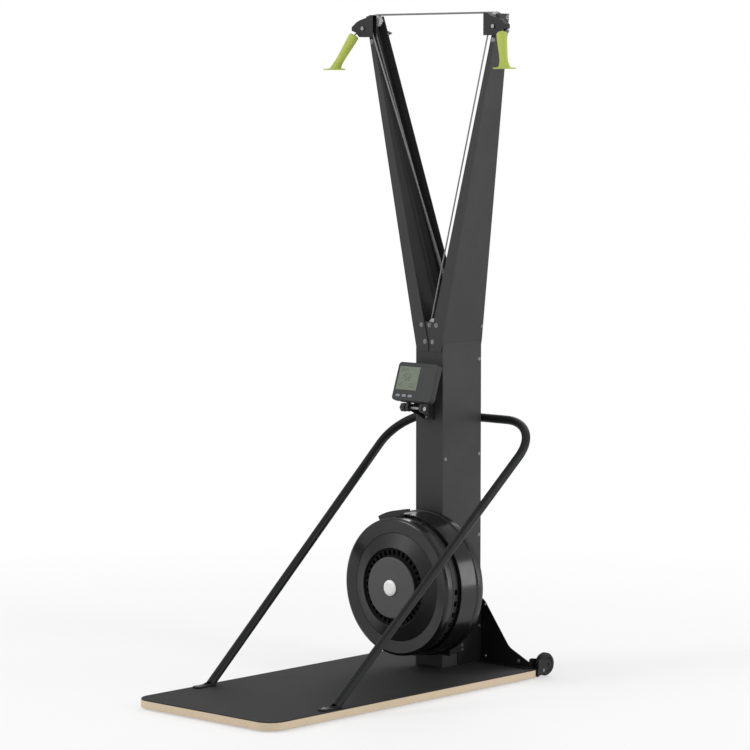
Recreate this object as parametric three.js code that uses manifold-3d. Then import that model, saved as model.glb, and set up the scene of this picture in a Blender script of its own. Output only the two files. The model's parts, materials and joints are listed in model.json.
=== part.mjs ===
import * as THREE from 'three';
import { mergeVertices } from 'three/addons/utils/BufferGeometryUtils.js';
import Module from 'manifold-3d';

// Ski trainer machine, in millimetres. The user stands at -Y and looks along +Y.
// The column's axis is X 0, Y 0 while the parts are made, and the group is moved at the end.

// Clearances
const seatGap = 0.3;
const slideGap = 0.5;
const cutOver = 6;

// Deck
const deckWidth = 600;
const deckFront = -1128;
const deckRear = 94;
const deckFrontRadius = 60;
const deckRearRadius = 8;
const runnerHeight = 5;
const runnerWidth = 45;
const runnerInset = 30;
const runnerFront = -916;
const boardThickness = 23.7;
const matThickness = 2.7;
const matInset = 1.5;

// Column
const columnWidth = 116;
const columnDepth = 188;
const columnSheet = 3;
const bendHeight = 1088;
const guideRise = 57;
const guideHeight = bendHeight + guideRise;
const tongueOverGuide = 10;
const tongueTop = guideHeight + tongueOverGuide;
const coverDepth = 6;
const shaftHoleRadius = 20;

// Arms
const armSheet = 3;
const armTop = 2140;
const armTopOuter = 286.5;
const armTopFlange = 15;
const armTopRearFlange = 35;
const armTopFront = -86.4;
const armTopRear = -38.7;
const flangeDrop = 28;
const flangeBottom = bendHeight - flangeDrop;
const flangeCentreGap = 2.4;
const flangeKneeDrop = 4;
const flangeKnee = bendHeight - flangeKneeDrop;
const tabDrop = 48;
const tabBottom = bendHeight - tabDrop;
const tabRise = 9;

// Handrails
const railRadius = 14;
const railFootX = 272;
const railFootY = -826;
const railBendX = 305;
const railBendY = 115;
const railBendHeight = 832;
const railBendRadius = 150;
const railTabWidth = 30;
const railTabFront = -890;
const railTabRear = -812;
const railTabThickness = 5;
const railPlateWidth = 46;
const railPlateHeight = 44;

// Base bracket
const bracketSheet = 3;
const bracketApexX = 70;
const bracketApexHeight = 240;
const bracketKneeX = 181;
const bracketKneeHeight = 91;
const bracketEndX = 277;
const bracketEndHeight = 46;
const bracketFootDepth = 26;
const bracketCheekFront = -20;
const bracketCheekTop = 232;
const bracketCorner = 14;

// Transport wheels
const wheelX = 285;
const wheelY = 151;
const wheelZ = 40.5;
const wheelRadius = 37.5;
const wheelWidth = 30;
const wheelTreadRadius = 33;
const wheelHubRadius = 12;
const wheelBore = 6;
const wheelForkGap = 2.5;
const wheelForkSheet = 3;
const wheelForkTop = 62;
const wheelPlateTop = 29;
const wheelPlateBottom = 7;

// Heads at the arms' tops
const headBottomDrop = 68;
const headBottom = armTop - headBottomDrop;
const headThickness = 21;
const headWall = 2.5;
const headAxisX = 280;
const headAxisDrop = 40;
const headAxisZ = armTop - headAxisDrop;
const headPitch = 24;
const headFlange = 26.4;
const headPulleyWidth = 14;
const headAxleRadius = 5;
const headBoltRadius = 7;
const headBoltHeight = 4;
const headBackX = 238;
const headTopX = 251;
const headTopRise = 3;
const headTop = armTop + headTopRise;
const headShoulderX = 268;
const headShoulderDrop = 6;
const headShoulder = armTop - headShoulderDrop;
const headMidX = 292;
const headMidDrop = 12;
const headMid = armTop - headMidDrop;
const headBrowX = 309;
const headBrowDrop = 19;
const headBrow = armTop - headBrowDrop;
const headNoseX = 331;
const headNoseTopDrop = 35;
const headNoseTop = armTop - headNoseTopDrop;
const headNoseBottomDrop = 47;
const headNoseBottom = armTop - headNoseBottomDrop;
const headChinX = 313;
const headChinDrop = 53;
const headChin = armTop - headChinDrop;
const headLipX = 298;

// Drive cords, pulleys and drums
const driveCordRadius = 2.5;
const guidePitch = 16;
const guideFlange = 20;
const guideWidth = 14;
const guideAxleRadius = 4;
const frontGuideY = -70;
const rearGuideY = 30;
const drumDrivePitch = 30;
const drumDriveFlange = 35;
const drumDriveWidth = 22;
const drumReturnPitch = 15;
const drumReturnFlange = 20;
const drumReturnWidth = 14;
const drumReturnStep = 19;

// Elastic return cord and its pulleys
const returnCordRadius = 3;
const returnPitch = 18;
const returnFlange = 20.3;
const returnWidth = 14;
const returnX = 257.3;
const returnY = -68;
const returnDrop = 14;
const returnZ = armTop - returnDrop;
const returnAxleRadius = 4;
const returnCollarRadius = 7;
const rollerPitch = 8;
const rollerFlange = 12.5;
const rollerWidth = 14;
const rollerX = 34;
const rollerY = 62;
const rollerAxleRadius = 3;
const pulleyRim = 1.5;
const guideBracketY = 78;
const guideBracketSheet = 3;
const guideBracketHalf = 50;
const guideBracketRise = 23;
const guideBracketBottom = guideHeight - guideBracketRise;
const guideBracketTop = guideHeight + guideBracketRise;
const guideBracketLip = 14;

// Fan unit, with its axis along Y
const fanHeight = 309;
const shaftRadius = 8;
const shaftCollarRadius = 12;
const shaftFront = -262;
const shaftRear = 92;
const flywheelRadius = 200;
const flywheelRunGap = 9;
const barrelRadius = flywheelRadius + flywheelRunGap;
const frontRingRise = 14;
const frontRingRadius = barrelRadius + frontRingRise;
const frontCorner = 8;
const frontFaceY = -256;
const frontRimY = -228;
const frontLipRadius = 175;
const frontLipY = -252;
const shellWall = 3;
const barrelSlotWidth = 17;
const barrelSlotCount = 36;
const barrelSlotEnd = 5;
const rearShellFrontY = -194;
const rearShellStep = 20;
const rearShellFrontRadius = barrelRadius + rearShellStep;
const rearShellMidY = -126;
const rearShellFlare = 4;
const rearShellMidRadius = rearShellFrontRadius + rearShellFlare;
const rearRidgeRise = 4;
const rearRidgeRadius = rearShellMidRadius + rearRidgeRise;
const rearRidgeBackY = -103;
const rearWallOpening = 44;
const damperRise = 8;
const damperRadius = barrelRadius + damperRise;
const damperRidgeRise = 5;
const damperRidgeRadius = damperRadius + damperRidgeRise;
const damperRidgeWidth = 7;
const damperSideGap = 2;
const damperRunGap = 0.8;
const tabReach = 27;
const tabTopRadius = damperRadius + tabReach;
const tabFromAngle = -28;
const tabToAngle = -4;
const tabFrontY = -215;
const tabThickness = 4;
const tabFlap = 50;
const guardDiscRadius = 100;
const guardDiscY = -280;
const guardDiscEdge = 4;
const guardRecessRadius = 128;
const guardRecessY = -262;
const guardRibY = -270;
const guardWall = 3;
const guardSlotCount = 36;
const guardSlotShare = 0.56;
const guardSlotInner = 105;
const guardSlotOuter = 121;
const capRadius = 26;
const capHeight = 6;
const capDome = 3;
const flywheelFrontY = -243;
const flywheelBackY = -110;
const flywheelPlate = 5;
const flywheelHubRadius = 32;
const bladeCount = 20;
const bladeInner = 128;
const bladeThickness = 3;
const bladeLean = 0.5;
const bearingWidth = 12;
const bearingFlangeRadius = 28;
const bearingFlange = 3;
const stayBottom = 74;
const stayTop = 102;
const stayRear = 8;
const stayFoot = 92;

// Handles
const handleOut = 50;
const handleForward = 44;
const handleFall = 113;
const handleDrop = 36;
const handleTopRadius = 16.5;
const handleWaistRadius = 13;
const handleWaistShare = 0.75;
const handleOverrunShare = 1.15;
const handleFlareRadius = 19;
const handleDiscRadius = 36;
const handleDiscThickness = 4;
const handleCrown = 7;
const handleSocketRadius = 5.5;
const handleSocketDepth = 8;

// Monitor
const monitorWidth = 170;
const monitorHeight = 127;
const monitorDepth = 32;
const monitorCorner = 12;
const monitorTilt = 19;
const monitorPivotY = -160;
const monitorDrop = 208;
const monitorPivotZ = bendHeight - monitorDrop;
const monitorRise = 15.5;
const screenLeft = -76;
const screenWidth = 88;
const screenHeight = 78;
const screenTopMargin = 14;
const screenThickness = 3;
const buttonWidth = 18;
const buttonHeight = 9;
const buttonPitch = 26;
const buttonBottomMargin = 11;
const buttonStand = 2.5;
const buttonTravel = 2;
const buttonDepth = 5;
const monitorEarWidth = 10;
const monitorEarHalf = 34;
const monitorEarRadius = 13;
const monitorBolt = 4;
const monitorArmSheet = 3;
const monitorArmOver = 20;
const monitorArmUnder = 42;
const monitorArmTop = monitorPivotZ + monitorArmOver;
const monitorArmBottom = monitorPivotZ - monitorArmUnder;
const monitorArmHalf = 22;
const knobRadius = 15;
const knobLength = 24;
const knobLobes = 6;

// Colours
const darkOlive = 0x3e3c42;
const nearBlack = 0x191a1c;
const glossBlack = 0x101113;
const matGrey = 0x3c3c3c;
const woodTan = 0xc8b491;
const discGrey = 0x6b6d70;
const lightGrey = 0xb9bbbd;
const steelGrey = 0x9a9c9e;
const gripGreen = 0xb0c04b;
const screenGreen = 0x7d8c73;
const cordGrey = 0xa9abac;
const elasticGrey = 0x5c5e61;

const wasm = await Module();
wasm.setup();

// Geometry tools

const wholeTurn = 2 * Math.PI;
const roundSides = 12;
const shellSides = 36;
const arcStep = Math.PI / 12;

function lerp(a, b, share) {
  return a + (b - a) * share;
}

// A geometry with shared corners, no thin leftovers, and its faces turned outward
function welded(geometry) {
  const bare = new THREE.BufferGeometry();
  bare.setAttribute('position', geometry.getAttribute('position'));
  if (geometry.index) bare.setIndex(geometry.index);
  const merged = mergeVertices(bare);
  const index = merged.index.array;
  const at = merged.getAttribute('position');
  const corner = [0, 1, 2].map(() => new THREE.Vector3());
  const kept = [];
  let volume = 0;
  for (let i = 0; i < index.length; i += 3) {
    const [a, b, c] = [index[i], index[i + 1], index[i + 2]];
    if (a === b || b === c || c === a) continue;
    kept.push(a, b, c);
    [a, b, c].forEach((vertex, k) => corner[k].fromBufferAttribute(at, vertex));
    volume += corner[0].dot(corner[1].clone().cross(corner[2]));
  }
  if (volume < 0) {
    for (let i = 0; i < kept.length; i += 3) [kept[i], kept[i + 1]] = [kept[i + 1], kept[i]];
  }
  merged.setIndex(kept);
  return merged;
}

function solid(geometry) {
  const closed = welded(geometry);
  return new wasm.Manifold(new wasm.Mesh({
    numProp: 3,
    vertProperties: new Float32Array(closed.getAttribute('position').array),
    triVerts: new Uint32Array(closed.index.array),
  }));
}

function geometryOf(body) {
  const mesh = body.getMesh();
  const geometry = new THREE.BufferGeometry();
  geometry.setAttribute('position', new THREE.BufferAttribute(new Float32Array(mesh.vertProperties), 3));
  geometry.setIndex(new THREE.BufferAttribute(new Uint32Array(mesh.triVerts), 1));
  return geometry;
}

function join(first, ...others) {
  const body = others.reduce((sum, other) => sum.add(solid(other)), solid(first));
  return geometryOf(body);
}

function cut(first, ...others) {
  const body = others.reduce((rest, other) => rest.subtract(solid(other)), solid(first));
  return geometryOf(body);
}

// A box between two corners
function block(x0, x1, y0, y1, z0, z1) {
  const box = new THREE.BoxGeometry(Math.abs(x1 - x0), Math.abs(y1 - y0), Math.abs(z1 - z0));
  return box.translate((x0 + x1) / 2, (y0 + y1) / 2, (z0 + z1) / 2);
}

function shapeOf(outline) {
  if (!Array.isArray(outline)) return outline;
  return new THREE.Shape(outline.map(([u, v]) => new THREE.Vector2(u, v)));
}

function flat(outline, depth, holes = []) {
  const shape = shapeOf(outline);
  shape.holes.push(...holes.map(shapeOf));
  return new THREE.ExtrudeGeometry(shape, { depth, bevelEnabled: false, curveSegments: 3 });
}

// Outlines drawn in XY, XZ or YZ, and run along the third axis
function prismZ(outline, z0, z1, holes) {
  return flat(outline, z1 - z0, holes).translate(0, 0, z0);
}

function prismY(outline, y0, y1, holes) {
  return flat(outline, y1 - y0, holes).rotateX(Math.PI / 2).translate(0, y1, 0);
}

function prismX(outline, x0, x1, holes) {
  const turn = new THREE.Matrix4().set(0, 0, 1, 0, 1, 0, 0, 0, 0, 1, 0, 0, 0, 0, 0, 1);
  return flat(outline, x1 - x0, holes).applyMatrix4(turn).translate(x0, 0, 0);
}

// A revolve about Y: the profile closes on itself, or starts and ends on the axis
function spun(profile, sides = roundSides) {
  const closes = profile[0][0] > 0;
  const points = (closes ? [...profile, profile[0]] : profile).map(([r, y]) => new THREE.Vector2(r, y));
  return new THREE.LatheGeometry(points, sides);
}

function disc(radius, y0, y1, sides = roundSides) {
  return spun([[0, y0], [radius, y0], [radius, y1], [0, y1]], sides);
}

function ring(inner, outer, y0, y1, sides = roundSides) {
  return spun([[inner, y0], [outer, y0], [outer, y1], [inner, y1]], sides);
}

function discX(radius, x0, x1, sides = roundSides) {
  return disc(radius, x0, x1, sides).rotateZ(-Math.PI / 2);
}

// A rectangle whose four corners have their own radii, first the two at the low v
function roundedRectangle(u0, u1, v0, v1, lowRadius, highRadius) {
  const shape = new THREE.Shape();
  shape.absarc(u0 + lowRadius, v0 + lowRadius, lowRadius, Math.PI, 1.5 * Math.PI);
  shape.absarc(u1 - lowRadius, v0 + lowRadius, lowRadius, 1.5 * Math.PI, wholeTurn);
  shape.absarc(u1 - highRadius, v1 - highRadius, highRadius, 0, 0.5 * Math.PI);
  shape.absarc(u0 + highRadius, v1 - highRadius, highRadius, 0.5 * Math.PI, Math.PI);
  return shape;
}

// A polygon with every corner rounded to the same radius where its edges allow
function softened(corners, radius) {
  const shape = new THREE.Shape();
  corners.forEach(([u, v], i) => {
    const here = new THREE.Vector2(u, v);
    const before = new THREE.Vector2(...corners[(i + corners.length - 1) % corners.length]);
    const after = new THREE.Vector2(...corners[(i + 1) % corners.length]);
    const reach = Math.min(radius, here.distanceTo(before) / 2, here.distanceTo(after) / 2);
    const start = here.clone().add(before.sub(here).setLength(reach));
    const end = here.clone().add(after.sub(here).setLength(reach));
    if (i === 0) shape.moveTo(start.x, start.y);
    else shape.lineTo(start.x, start.y);
    shape.quadraticCurveTo(here.x, here.y, end.x, end.y);
  });
  shape.closePath();
  return shape;
}

// A loft through sections of as many points each, listed from low to high
function loft(sections) {
  const count = sections[0].points.length;
  const positions = sections.flatMap(({ points, z }) => points.flatMap(([x, y]) => [x, y, z]));
  const index = [];
  sections.slice(1).forEach((unused, level) => {
    for (let i = 0; i < count; i += 1) {
      const a = level * count + i;
      const b = level * count + (i + 1) % count;
      index.push(a, b, b + count, a, b + count, a + count);
    }
  });
  const lid = (points, first, turned) => {
    const outline = points.map(([x, y]) => new THREE.Vector2(x, y));
    THREE.ShapeUtils.triangulateShape(outline, []).forEach(([a, b, c]) => {
      const face = turned ? [a, c, b] : [a, b, c];
      index.push(...face.map((i) => i + first));
    });
  };
  lid(sections[0].points, 0, true);
  lid(sections[sections.length - 1].points, (sections.length - 1) * count, false);
  const geometry = new THREE.BufferGeometry();
  geometry.setAttribute('position', new THREE.Float32BufferAttribute(positions, 3));
  geometry.setIndex(index);
  return geometry;
}

// A curve with its rings exactly at the points of a route
class Route extends THREE.Curve {
  constructor(points) {
    super();
    this.points = points;
  }

  getPointAt(share) {
    return this.points[Math.round(share * (this.points.length - 1))].clone();
  }

  getPoint(share) {
    return this.getPointAt(share);
  }

  getTangentAt(share, target = new THREE.Vector3()) {
    const last = this.points.length - 1;
    const i = Math.round(share * last);
    return target.subVectors(this.points[Math.min(i + 1, last)], this.points[Math.max(i - 1, 0)]).normalize();
  }
}

// A route through hand chosen points [x, y, z, bend radius], each bend a true arc
function bentRoute(points, arcSteps) {
  const route = [];
  points.forEach(([x, y, z, radius = 0], i) => {
    const here = new THREE.Vector3(x, y, z);
    if (radius === 0) {
      route.push(here);
      return;
    }
    const back = new THREE.Vector3(...points[i - 1].slice(0, 3)).sub(here).normalize();
    const on = new THREE.Vector3(...points[i + 1].slice(0, 3)).sub(here).normalize();
    const half = back.angleTo(on) / 2;
    const centre = here.clone().addScaledVector(back.clone().add(on).normalize(), radius / Math.sin(half));
    const start = here.clone().addScaledVector(back, radius / Math.tan(half)).sub(centre);
    const end = here.clone().addScaledVector(on, radius / Math.tan(half)).sub(centre);
    const sweep = start.angleTo(end);
    for (let step = 0; step <= arcSteps; step += 1) {
      const share = step / arcSteps;
      const arm = start.clone().multiplyScalar(Math.sin((1 - share) * sweep) / Math.sin(sweep));
      arm.addScaledVector(end, Math.sin(share * sweep) / Math.sin(sweep));
      route.push(arm.add(centre));
    }
  });
  return route;
}

// A cord's route over pulleys that turn about Y. Each stop has its pulley's centre and pitch radius,
// and a turn of 1 where the cord runs round it anticlockwise as seen from the front, else -1.
function wrapRoute(stops, startAngle) {
  const headings = stops.slice(1).map((to, i) => {
    const from = stops[i];
    const across = new THREE.Vector2(to.x - from.x, to.z - from.z);
    const swing = to.turn * to.radius - from.turn * from.radius;
    return across.angle() - Math.asin(swing / across.length());
  });
  return stops.flatMap(({ x, y, z, radius, turn }, i) => {
    const angleFor = (heading) => heading - turn * Math.PI / 2;
    const leaveAngle = angleFor(headings[Math.min(i, headings.length - 1)]);
    const meetAngle = i > 0 ? angleFor(headings[i - 1]) : startAngle ?? leaveAngle;
    const sweep = THREE.MathUtils.euclideanModulo(turn * (leaveAngle - meetAngle), wholeTurn);
    const turnsNone = sweep < seatGap / radius || sweep > wholeTurn - seatGap / radius;
    const steps = turnsNone ? 0 : Math.ceil(sweep / arcStep);
    const angles = [meetAngle];
    if (i === 0 && steps > 0) angles.push(meetAngle + turn * seatGap / radius);
    for (let step = 1; step <= steps; step += 1) angles.push(meetAngle + turn * sweep * step / steps);
    return angles.map((angle) => new THREE.Vector3(
      x + radius * Math.cos(angle), y, z + radius * Math.sin(angle),
    ));
  });
}

function tube(route, radius, sides = 8) {
  const section = new THREE.Shape();
  for (let i = 0; i < sides; i += 1) {
    const angle = (i + 0.5) / sides * wholeTurn;
    const corner = [radius * Math.cos(angle), radius * Math.sin(angle)];
    if (i === 0) section.moveTo(...corner);
    else section.lineTo(...corner);
  }
  section.closePath();
  const extrudePath = new Route(route);
  return new THREE.ExtrudeGeometry(section, { steps: route.length - 1, bevelEnabled: false, extrudePath });
}

function part(name, geometry, color, roughness = 0.5, metalness = 0) {
  const material = new THREE.MeshStandardMaterial({ color, roughness, metalness });
  const mesh = new THREE.Mesh(welded(geometry), material);
  mesh.name = name;
  return mesh;
}

function placed(mesh, x, y, z) {
  mesh.position.set(x, y, z);
  return mesh;
}

const machine = new THREE.Group();
machine.position.set(0, -(deckFront + wheelY + wheelRadius) / 2, 0);

// Adds the same piece on both sides; the left one is the right one mirrored across X
function addPair(name, make) {
  ['right', 'left'].forEach((side) => {
    const group = new THREE.Group();
    if (side === 'left') group.scale.set(-1, 1, 1);
    group.add(make(`${name}_${side}`, side));
    machine.add(group);
  });
}

// Deck

const boardBottom = runnerHeight + seatGap;
const boardTop = boardBottom + boardThickness;
const matBottom = boardTop + seatGap;
const deckTop = matBottom + matThickness;
const standBottom = deckTop + seatGap;
const deckHalf = deckWidth / 2;

function deckOutline(inset) {
  const half = deckHalf - inset;
  const front = deckFront + inset;
  const rear = deckRear - inset;
  return roundedRectangle(-half, half, front, rear, deckFrontRadius - inset, deckRearRadius - inset);
}

machine.add(part('deck_board', prismZ(deckOutline(0), boardBottom, boardTop), woodTan, 0.6));
machine.add(part('deck_mat', prismZ(deckOutline(matInset), matBottom, deckTop), matGrey, 0.9));
addPair('runner', (name) => {
  const outline = roundedRectangle(
    deckHalf - runnerInset - runnerWidth, deckHalf - runnerInset, runnerFront, deckRear,
    deckRearRadius, deckRearRadius,
  );
  return part(name, prismZ(outline, 0, runnerHeight), nearBlack, 0.9);
});

// Column: a folded channel, open at the back, whose front runs on as a tongue

const columnHalf = columnWidth / 2;
const columnFront = -columnDepth / 2;
const columnBack = columnDepth / 2;
const insideHalf = columnHalf - columnSheet;
const insideFront = columnFront + columnSheet;
const tongueHalf = insideHalf - seatGap;

function makeColumn() {
  const channel = prismZ([
    [-columnHalf, columnFront], [columnHalf, columnFront], [columnHalf, columnBack],
    [insideHalf, columnBack], [insideHalf, insideFront], [-insideHalf, insideFront],
    [-insideHalf, columnBack], [-columnHalf, columnBack],
  ], standBottom, bendHeight);
  const tongue = block(-tongueHalf, tongueHalf, columnFront, insideFront, bendHeight - cutOver, tongueTop);
  const shaftHole = disc(shaftHoleRadius, columnFront - cutOver, insideFront + cutOver)
    .translate(0, 0, fanHeight);
  const axleHole = disc(guideAxleRadius + slideGap, columnFront - cutOver, insideFront + cutOver)
    .translate(0, 0, guideHeight);
  return cut(join(channel, tongue), shaftHole, axleHole);
}
machine.add(part('column', makeColumn(), darkOlive, 0.45, 0.3));

const coverHalf = insideHalf - seatGap;
const coverFront = columnBack - coverDepth;

function makeColumnCover() {
  const panel = block(-coverHalf, coverHalf, coverFront, columnBack, standBottom, bendHeight);
  const hollow = block(
    -coverHalf + columnSheet, coverHalf - columnSheet, coverFront - cutOver, columnBack - columnSheet,
    standBottom + columnSheet, bendHeight - columnSheet,
  );
  const boss = disc(bearingFlangeRadius, coverFront, columnBack).translate(0, 0, fanHeight);
  const bore = disc(shaftHoleRadius, coverFront - cutOver, columnBack + cutOver)
    .translate(0, 0, fanHeight);
  return cut(join(cut(panel, hollow), boss), bore);
}
machine.add(part('column_cover', makeColumnCover(), darkOlive, 0.45, 0.3));

// Arms: channels that lean outward and narrow toward the top, open to the inside

const armBottomFront = columnFront - seatGap - armSheet;
const armBottomRear = columnBack + seatGap + armSheet;
const armShare = (z) => (z - bendHeight) / (armTop - bendHeight);
const armOuterAt = (z) => lerp(columnHalf, armTopOuter, armShare(z));
const frontShare = (z) => Math.max(0, (z - tongueTop) / (armTop - tongueTop));
const armFrontAt = (z) => lerp(armBottomFront, armTopFront, frontShare(z));
const armRearAt = (z) => lerp(armBottomRear, armTopRear, Math.max(0, armShare(z)));
const flangeShare = (z) => Math.max(0, (z - flangeKnee) / (armTop - flangeKnee));
const frontFlangeAt = (z) => lerp(flangeCentreGap, armTopOuter - armTopFlange, flangeShare(z));
const rearFlangeAt = (z) => lerp(flangeCentreGap, armTopOuter - armTopRearFlange, flangeShare(z));

function armSection(z) {
  const outer = armOuterAt(z);
  const front = armFrontAt(z);
  const rear = armRearAt(z);
  const points = [
    [frontFlangeAt(z), front], [outer, front], [outer, rear], [rearFlangeAt(z), rear],
    [rearFlangeAt(z), rear - armSheet], [outer - armSheet, rear - armSheet],
    [outer - armSheet, front + armSheet], [frontFlangeAt(z), front + armSheet],
  ];
  return { points, z };
}

function makeArm() {
  const channel = loft([flangeBottom, flangeKnee, bendHeight, tongueTop, armTop].map(armSection));
  const columnRoom = block(
    0, columnHalf + seatGap, columnFront - seatGap, columnBack + seatGap,
    flangeBottom - cutOver, bendHeight + seatGap,
  );
  const tabOut = insideHalf - seatGap;
  const tabIn = tabOut - armSheet;
  const shoulder = bendHeight + seatGap;
  const tab = prismY([
    [tabIn, tabBottom], [tabOut, tabBottom], [tabOut, shoulder], [armOuterAt(shoulder), shoulder],
    [armOuterAt(shoulder + tabRise), shoulder + tabRise],
    [armOuterAt(shoulder + tabRise) - armSheet, shoulder + tabRise], [tabIn, shoulder],
  ], insideFront + seatGap, coverFront - seatGap);
  return join(cut(channel, columnRoom), tab);
}
addPair('arm', (name) => part(name, makeArm(), darkOlive, 0.45, 0.3));

// Handrails: each rises from the deck and turns in behind the column

const railPlateFront = columnBack + seatGap;

function makeRail() {
  const legRise = new THREE.Vector3(
    railBendX - railFootX, railBendY - railFootY, railBendHeight - standBottom,
  );
  const overrun = legRise.clone().multiplyScalar(cutOver * 2 / legRise.z);
  const footZ = standBottom - cutOver * 2;
  const route = bentRoute([
    [railFootX - overrun.x, railFootY - overrun.y, footZ],
    [railBendX, railBendY, railBendHeight, railBendRadius],
    [seatGap, railBendY, railBendHeight],
  ], 6);
  const pipe = tube(route, railRadius, 12);
  const below = block(
    railFootX - railBendRadius, railFootX + railBendRadius,
    railFootY - railBendRadius, railFootY + railBendRadius, footZ - railBendRadius, standBottom,
  );
  const tabHalf = railTabWidth / 2;
  const tabCorner = railTabWidth / 3;
  const tab = prismZ(
    roundedRectangle(
      railFootX - tabHalf, railFootX + tabHalf, railTabFront, railTabRear, tabCorner, tabCorner,
    ),
    standBottom, standBottom + railTabThickness,
  );
  const plate = block(
    seatGap, railPlateWidth, railPlateFront, railBendY,
    railBendHeight - railPlateHeight / 2, railBendHeight + railPlateHeight / 2,
  );
  return join(cut(pipe, below), tab, plate);
}
addPair('rail', (name) => part(name, makeRail(), nearBlack, 0.35, 0.4));

// Base bracket: a back plate with sloping sides, a foot on the deck and cheeks at the column

function makeBaseBracket() {
  const back = columnBack + seatGap;
  const kneeDrop = bracketKneeX - bracketApexX;
  const corners = [
    [-bracketEndX, standBottom], [bracketEndX, standBottom], [bracketEndX, bracketEndHeight],
    [bracketKneeX, bracketKneeHeight], [bracketApexX, bracketApexHeight],
    [-bracketApexX, bracketApexHeight], [-bracketKneeX, bracketKneeHeight],
    [-bracketEndX, bracketEndHeight],
  ];
  const corner = Math.min(bracketCorner, kneeDrop / 2);
  const plate = prismY(softened(corners, corner), back, back + bracketSheet);
  const shaftOpening = disc(shaftHoleRadius, back - cutOver, back + bracketSheet + cutOver)
    .translate(0, 0, fanHeight);
  const sides = [1, -1].flatMap((side) => {
    const inner = side * (columnHalf + seatGap);
    const outer = inner + side * bracketSheet;
    const cheek = block(
      inner, outer, bracketCheekFront, back + bracketSheet / 2, standBottom, bracketCheekTop,
    );
    const foot = block(
      inner, side * bracketEndX, back + bracketSheet / 2 - bracketFootDepth, back + bracketSheet / 2,
      standBottom, standBottom + bracketSheet,
    );
    return [cheek, foot];
  });
  return cut(join(plate, ...sides), shaftOpening);
}
machine.add(part('base_bracket', makeBaseBracket(), nearBlack, 0.5, 0.3));

// Transport wheels behind the deck, each in a forked bracket with its axle

const wheelHalf = wheelWidth / 2;
const forkInner = wheelHalf + wheelForkGap;
const wheelAxleRadius = wheelBore - slideGap;

function makeWheel() {
  const shoulder = wheelHalf * 0.8;
  return spun([
    [wheelBore, -wheelHalf], [wheelHubRadius, -wheelHalf], [wheelTreadRadius, -shoulder],
    [wheelRadius, -shoulder / 2], [wheelRadius, shoulder / 2], [wheelTreadRadius, shoulder],
    [wheelHubRadius, wheelHalf], [wheelBore, wheelHalf],
  ], 20).rotateZ(-Math.PI / 2);
}
addPair('wheel', (name) => placed(part(name, makeWheel(), nearBlack, 0.8), wheelX, wheelY, wheelZ));

function makeWheelBracket() {
  const plateFront = deckRear + seatGap;
  const plateRear = plateFront + wheelForkSheet;
  const forkFront = columnBack + seatGap + bracketSheet + seatGap;
  const nose = wheelBore * 2.4;
  const cheeks = [-forkInner - wheelForkSheet, forkInner].map((start) => {
    const outline = softened([
      [plateFront, wheelPlateBottom], [wheelY, wheelZ - nose], [wheelY + nose, wheelZ],
      [wheelY, wheelZ + nose], [forkFront + nose, wheelForkTop], [forkFront, wheelForkTop],
      [forkFront, wheelPlateTop], [plateFront, wheelPlateTop],
    ], nose / 2);
    return prismX(outline, wheelX + start, wheelX + start + wheelForkSheet);
  });
  const plate = block(
    wheelX - forkInner - wheelForkSheet, wheelX + forkInner + wheelForkSheet, plateFront, plateRear,
    wheelPlateBottom, wheelPlateTop,
  );
  const axleHalf = forkInner + wheelForkSheet + wheelForkSheet;
  const axle = discX(wheelAxleRadius, wheelX - axleHalf, wheelX + axleHalf, 12)
    .translate(0, wheelY, wheelZ);
  return join(plate, ...cheeks, axle);
}
addPair('wheel_bracket', (name) => part(name, makeWheelBracket(), nearBlack, 0.5, 0.3));

// Heads: a housing open at its back and bottom, with the head pulley on its axle

const headBack = armFrontAt(headBottom) - seatGap;
const headFront = headBack - headThickness;
const headY = (headBack + headFront) / 2;

function makeHead() {
  const outline = [
    [headBackX, headTop], [headBackX, headBottom], [headLipX, headBottom], [headChinX, headChin],
    [headNoseX, headNoseBottom], [headNoseX, headNoseTop], [headBrowX, headBrow],
    [headMidX, headMid], [headShoulderX, headShoulder], [headTopX, headTop],
  ];
  const shell = prismY(outline, headFront, headBack);
  const hollow = prismY(outline, headFront + headWall, headBack - headWall)
    .translate(-headWall, 0, -headWall);
  const bore = disc(headAxleRadius + seatGap, headFront - cutOver, headBack + cutOver)
    .translate(headAxisX, 0, headAxisZ);
  return cut(shell, hollow, bore);
}
addPair('head', (name) => part(name, makeHead(), nearBlack, 0.4, 0.2));

// A grooved pulley about Y, wide enough for a cord of the given radius
function pulley(pitch, flange, width, bore, cordRadius) {
  const groove = pitch - cordRadius - slideGap;
  const bottom = cordRadius * 0.8;
  const half = width / 2;
  return spun([
    [bore, -half], [flange, -half], [flange, -half + pulleyRim], [groove, -bottom],
    [groove, bottom], [flange, half - pulleyRim], [flange, half], [bore, half],
  ]);
}

addPair('head_pulley', (name) => {
  const wheel = pulley(headPitch, headFlange, headPulleyWidth, headAxleRadius + slideGap, driveCordRadius);
  return placed(part(name, wheel, lightGrey, 0.5), headAxisX, headY, headAxisZ);
});
addPair('head_axle', (name) => {
  const pin = disc(headAxleRadius, 0, headThickness + seatGap);
  const bolt = disc(headBoltRadius, -headBoltHeight, 0, 6);
  const geometry = join(pin, bolt);
  return placed(part(name, geometry, steelGrey, 0.35, 0.8), headAxisX, headFront - seatGap, headAxisZ);
});

// Where the pull cord leaves the head pulley, and the line that it and the handle hang on

const handleAxis = new THREE.Vector3(handleOut, -handleForward, -handleFall);
const handleLength = handleAxis.length();
handleAxis.normalize();
const pullTilt = Math.atan2(handleOut, handleFall);
const pullStart = new THREE.Vector3(
  headAxisX + headPitch * Math.cos(pullTilt), headY, headAxisZ + headPitch * Math.sin(pullTilt),
);

// Drive cords: from the head pulley over a guide pulley down to a drum in the column

const drumY = { front: frontGuideY, rear: rearGuideY };

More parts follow.
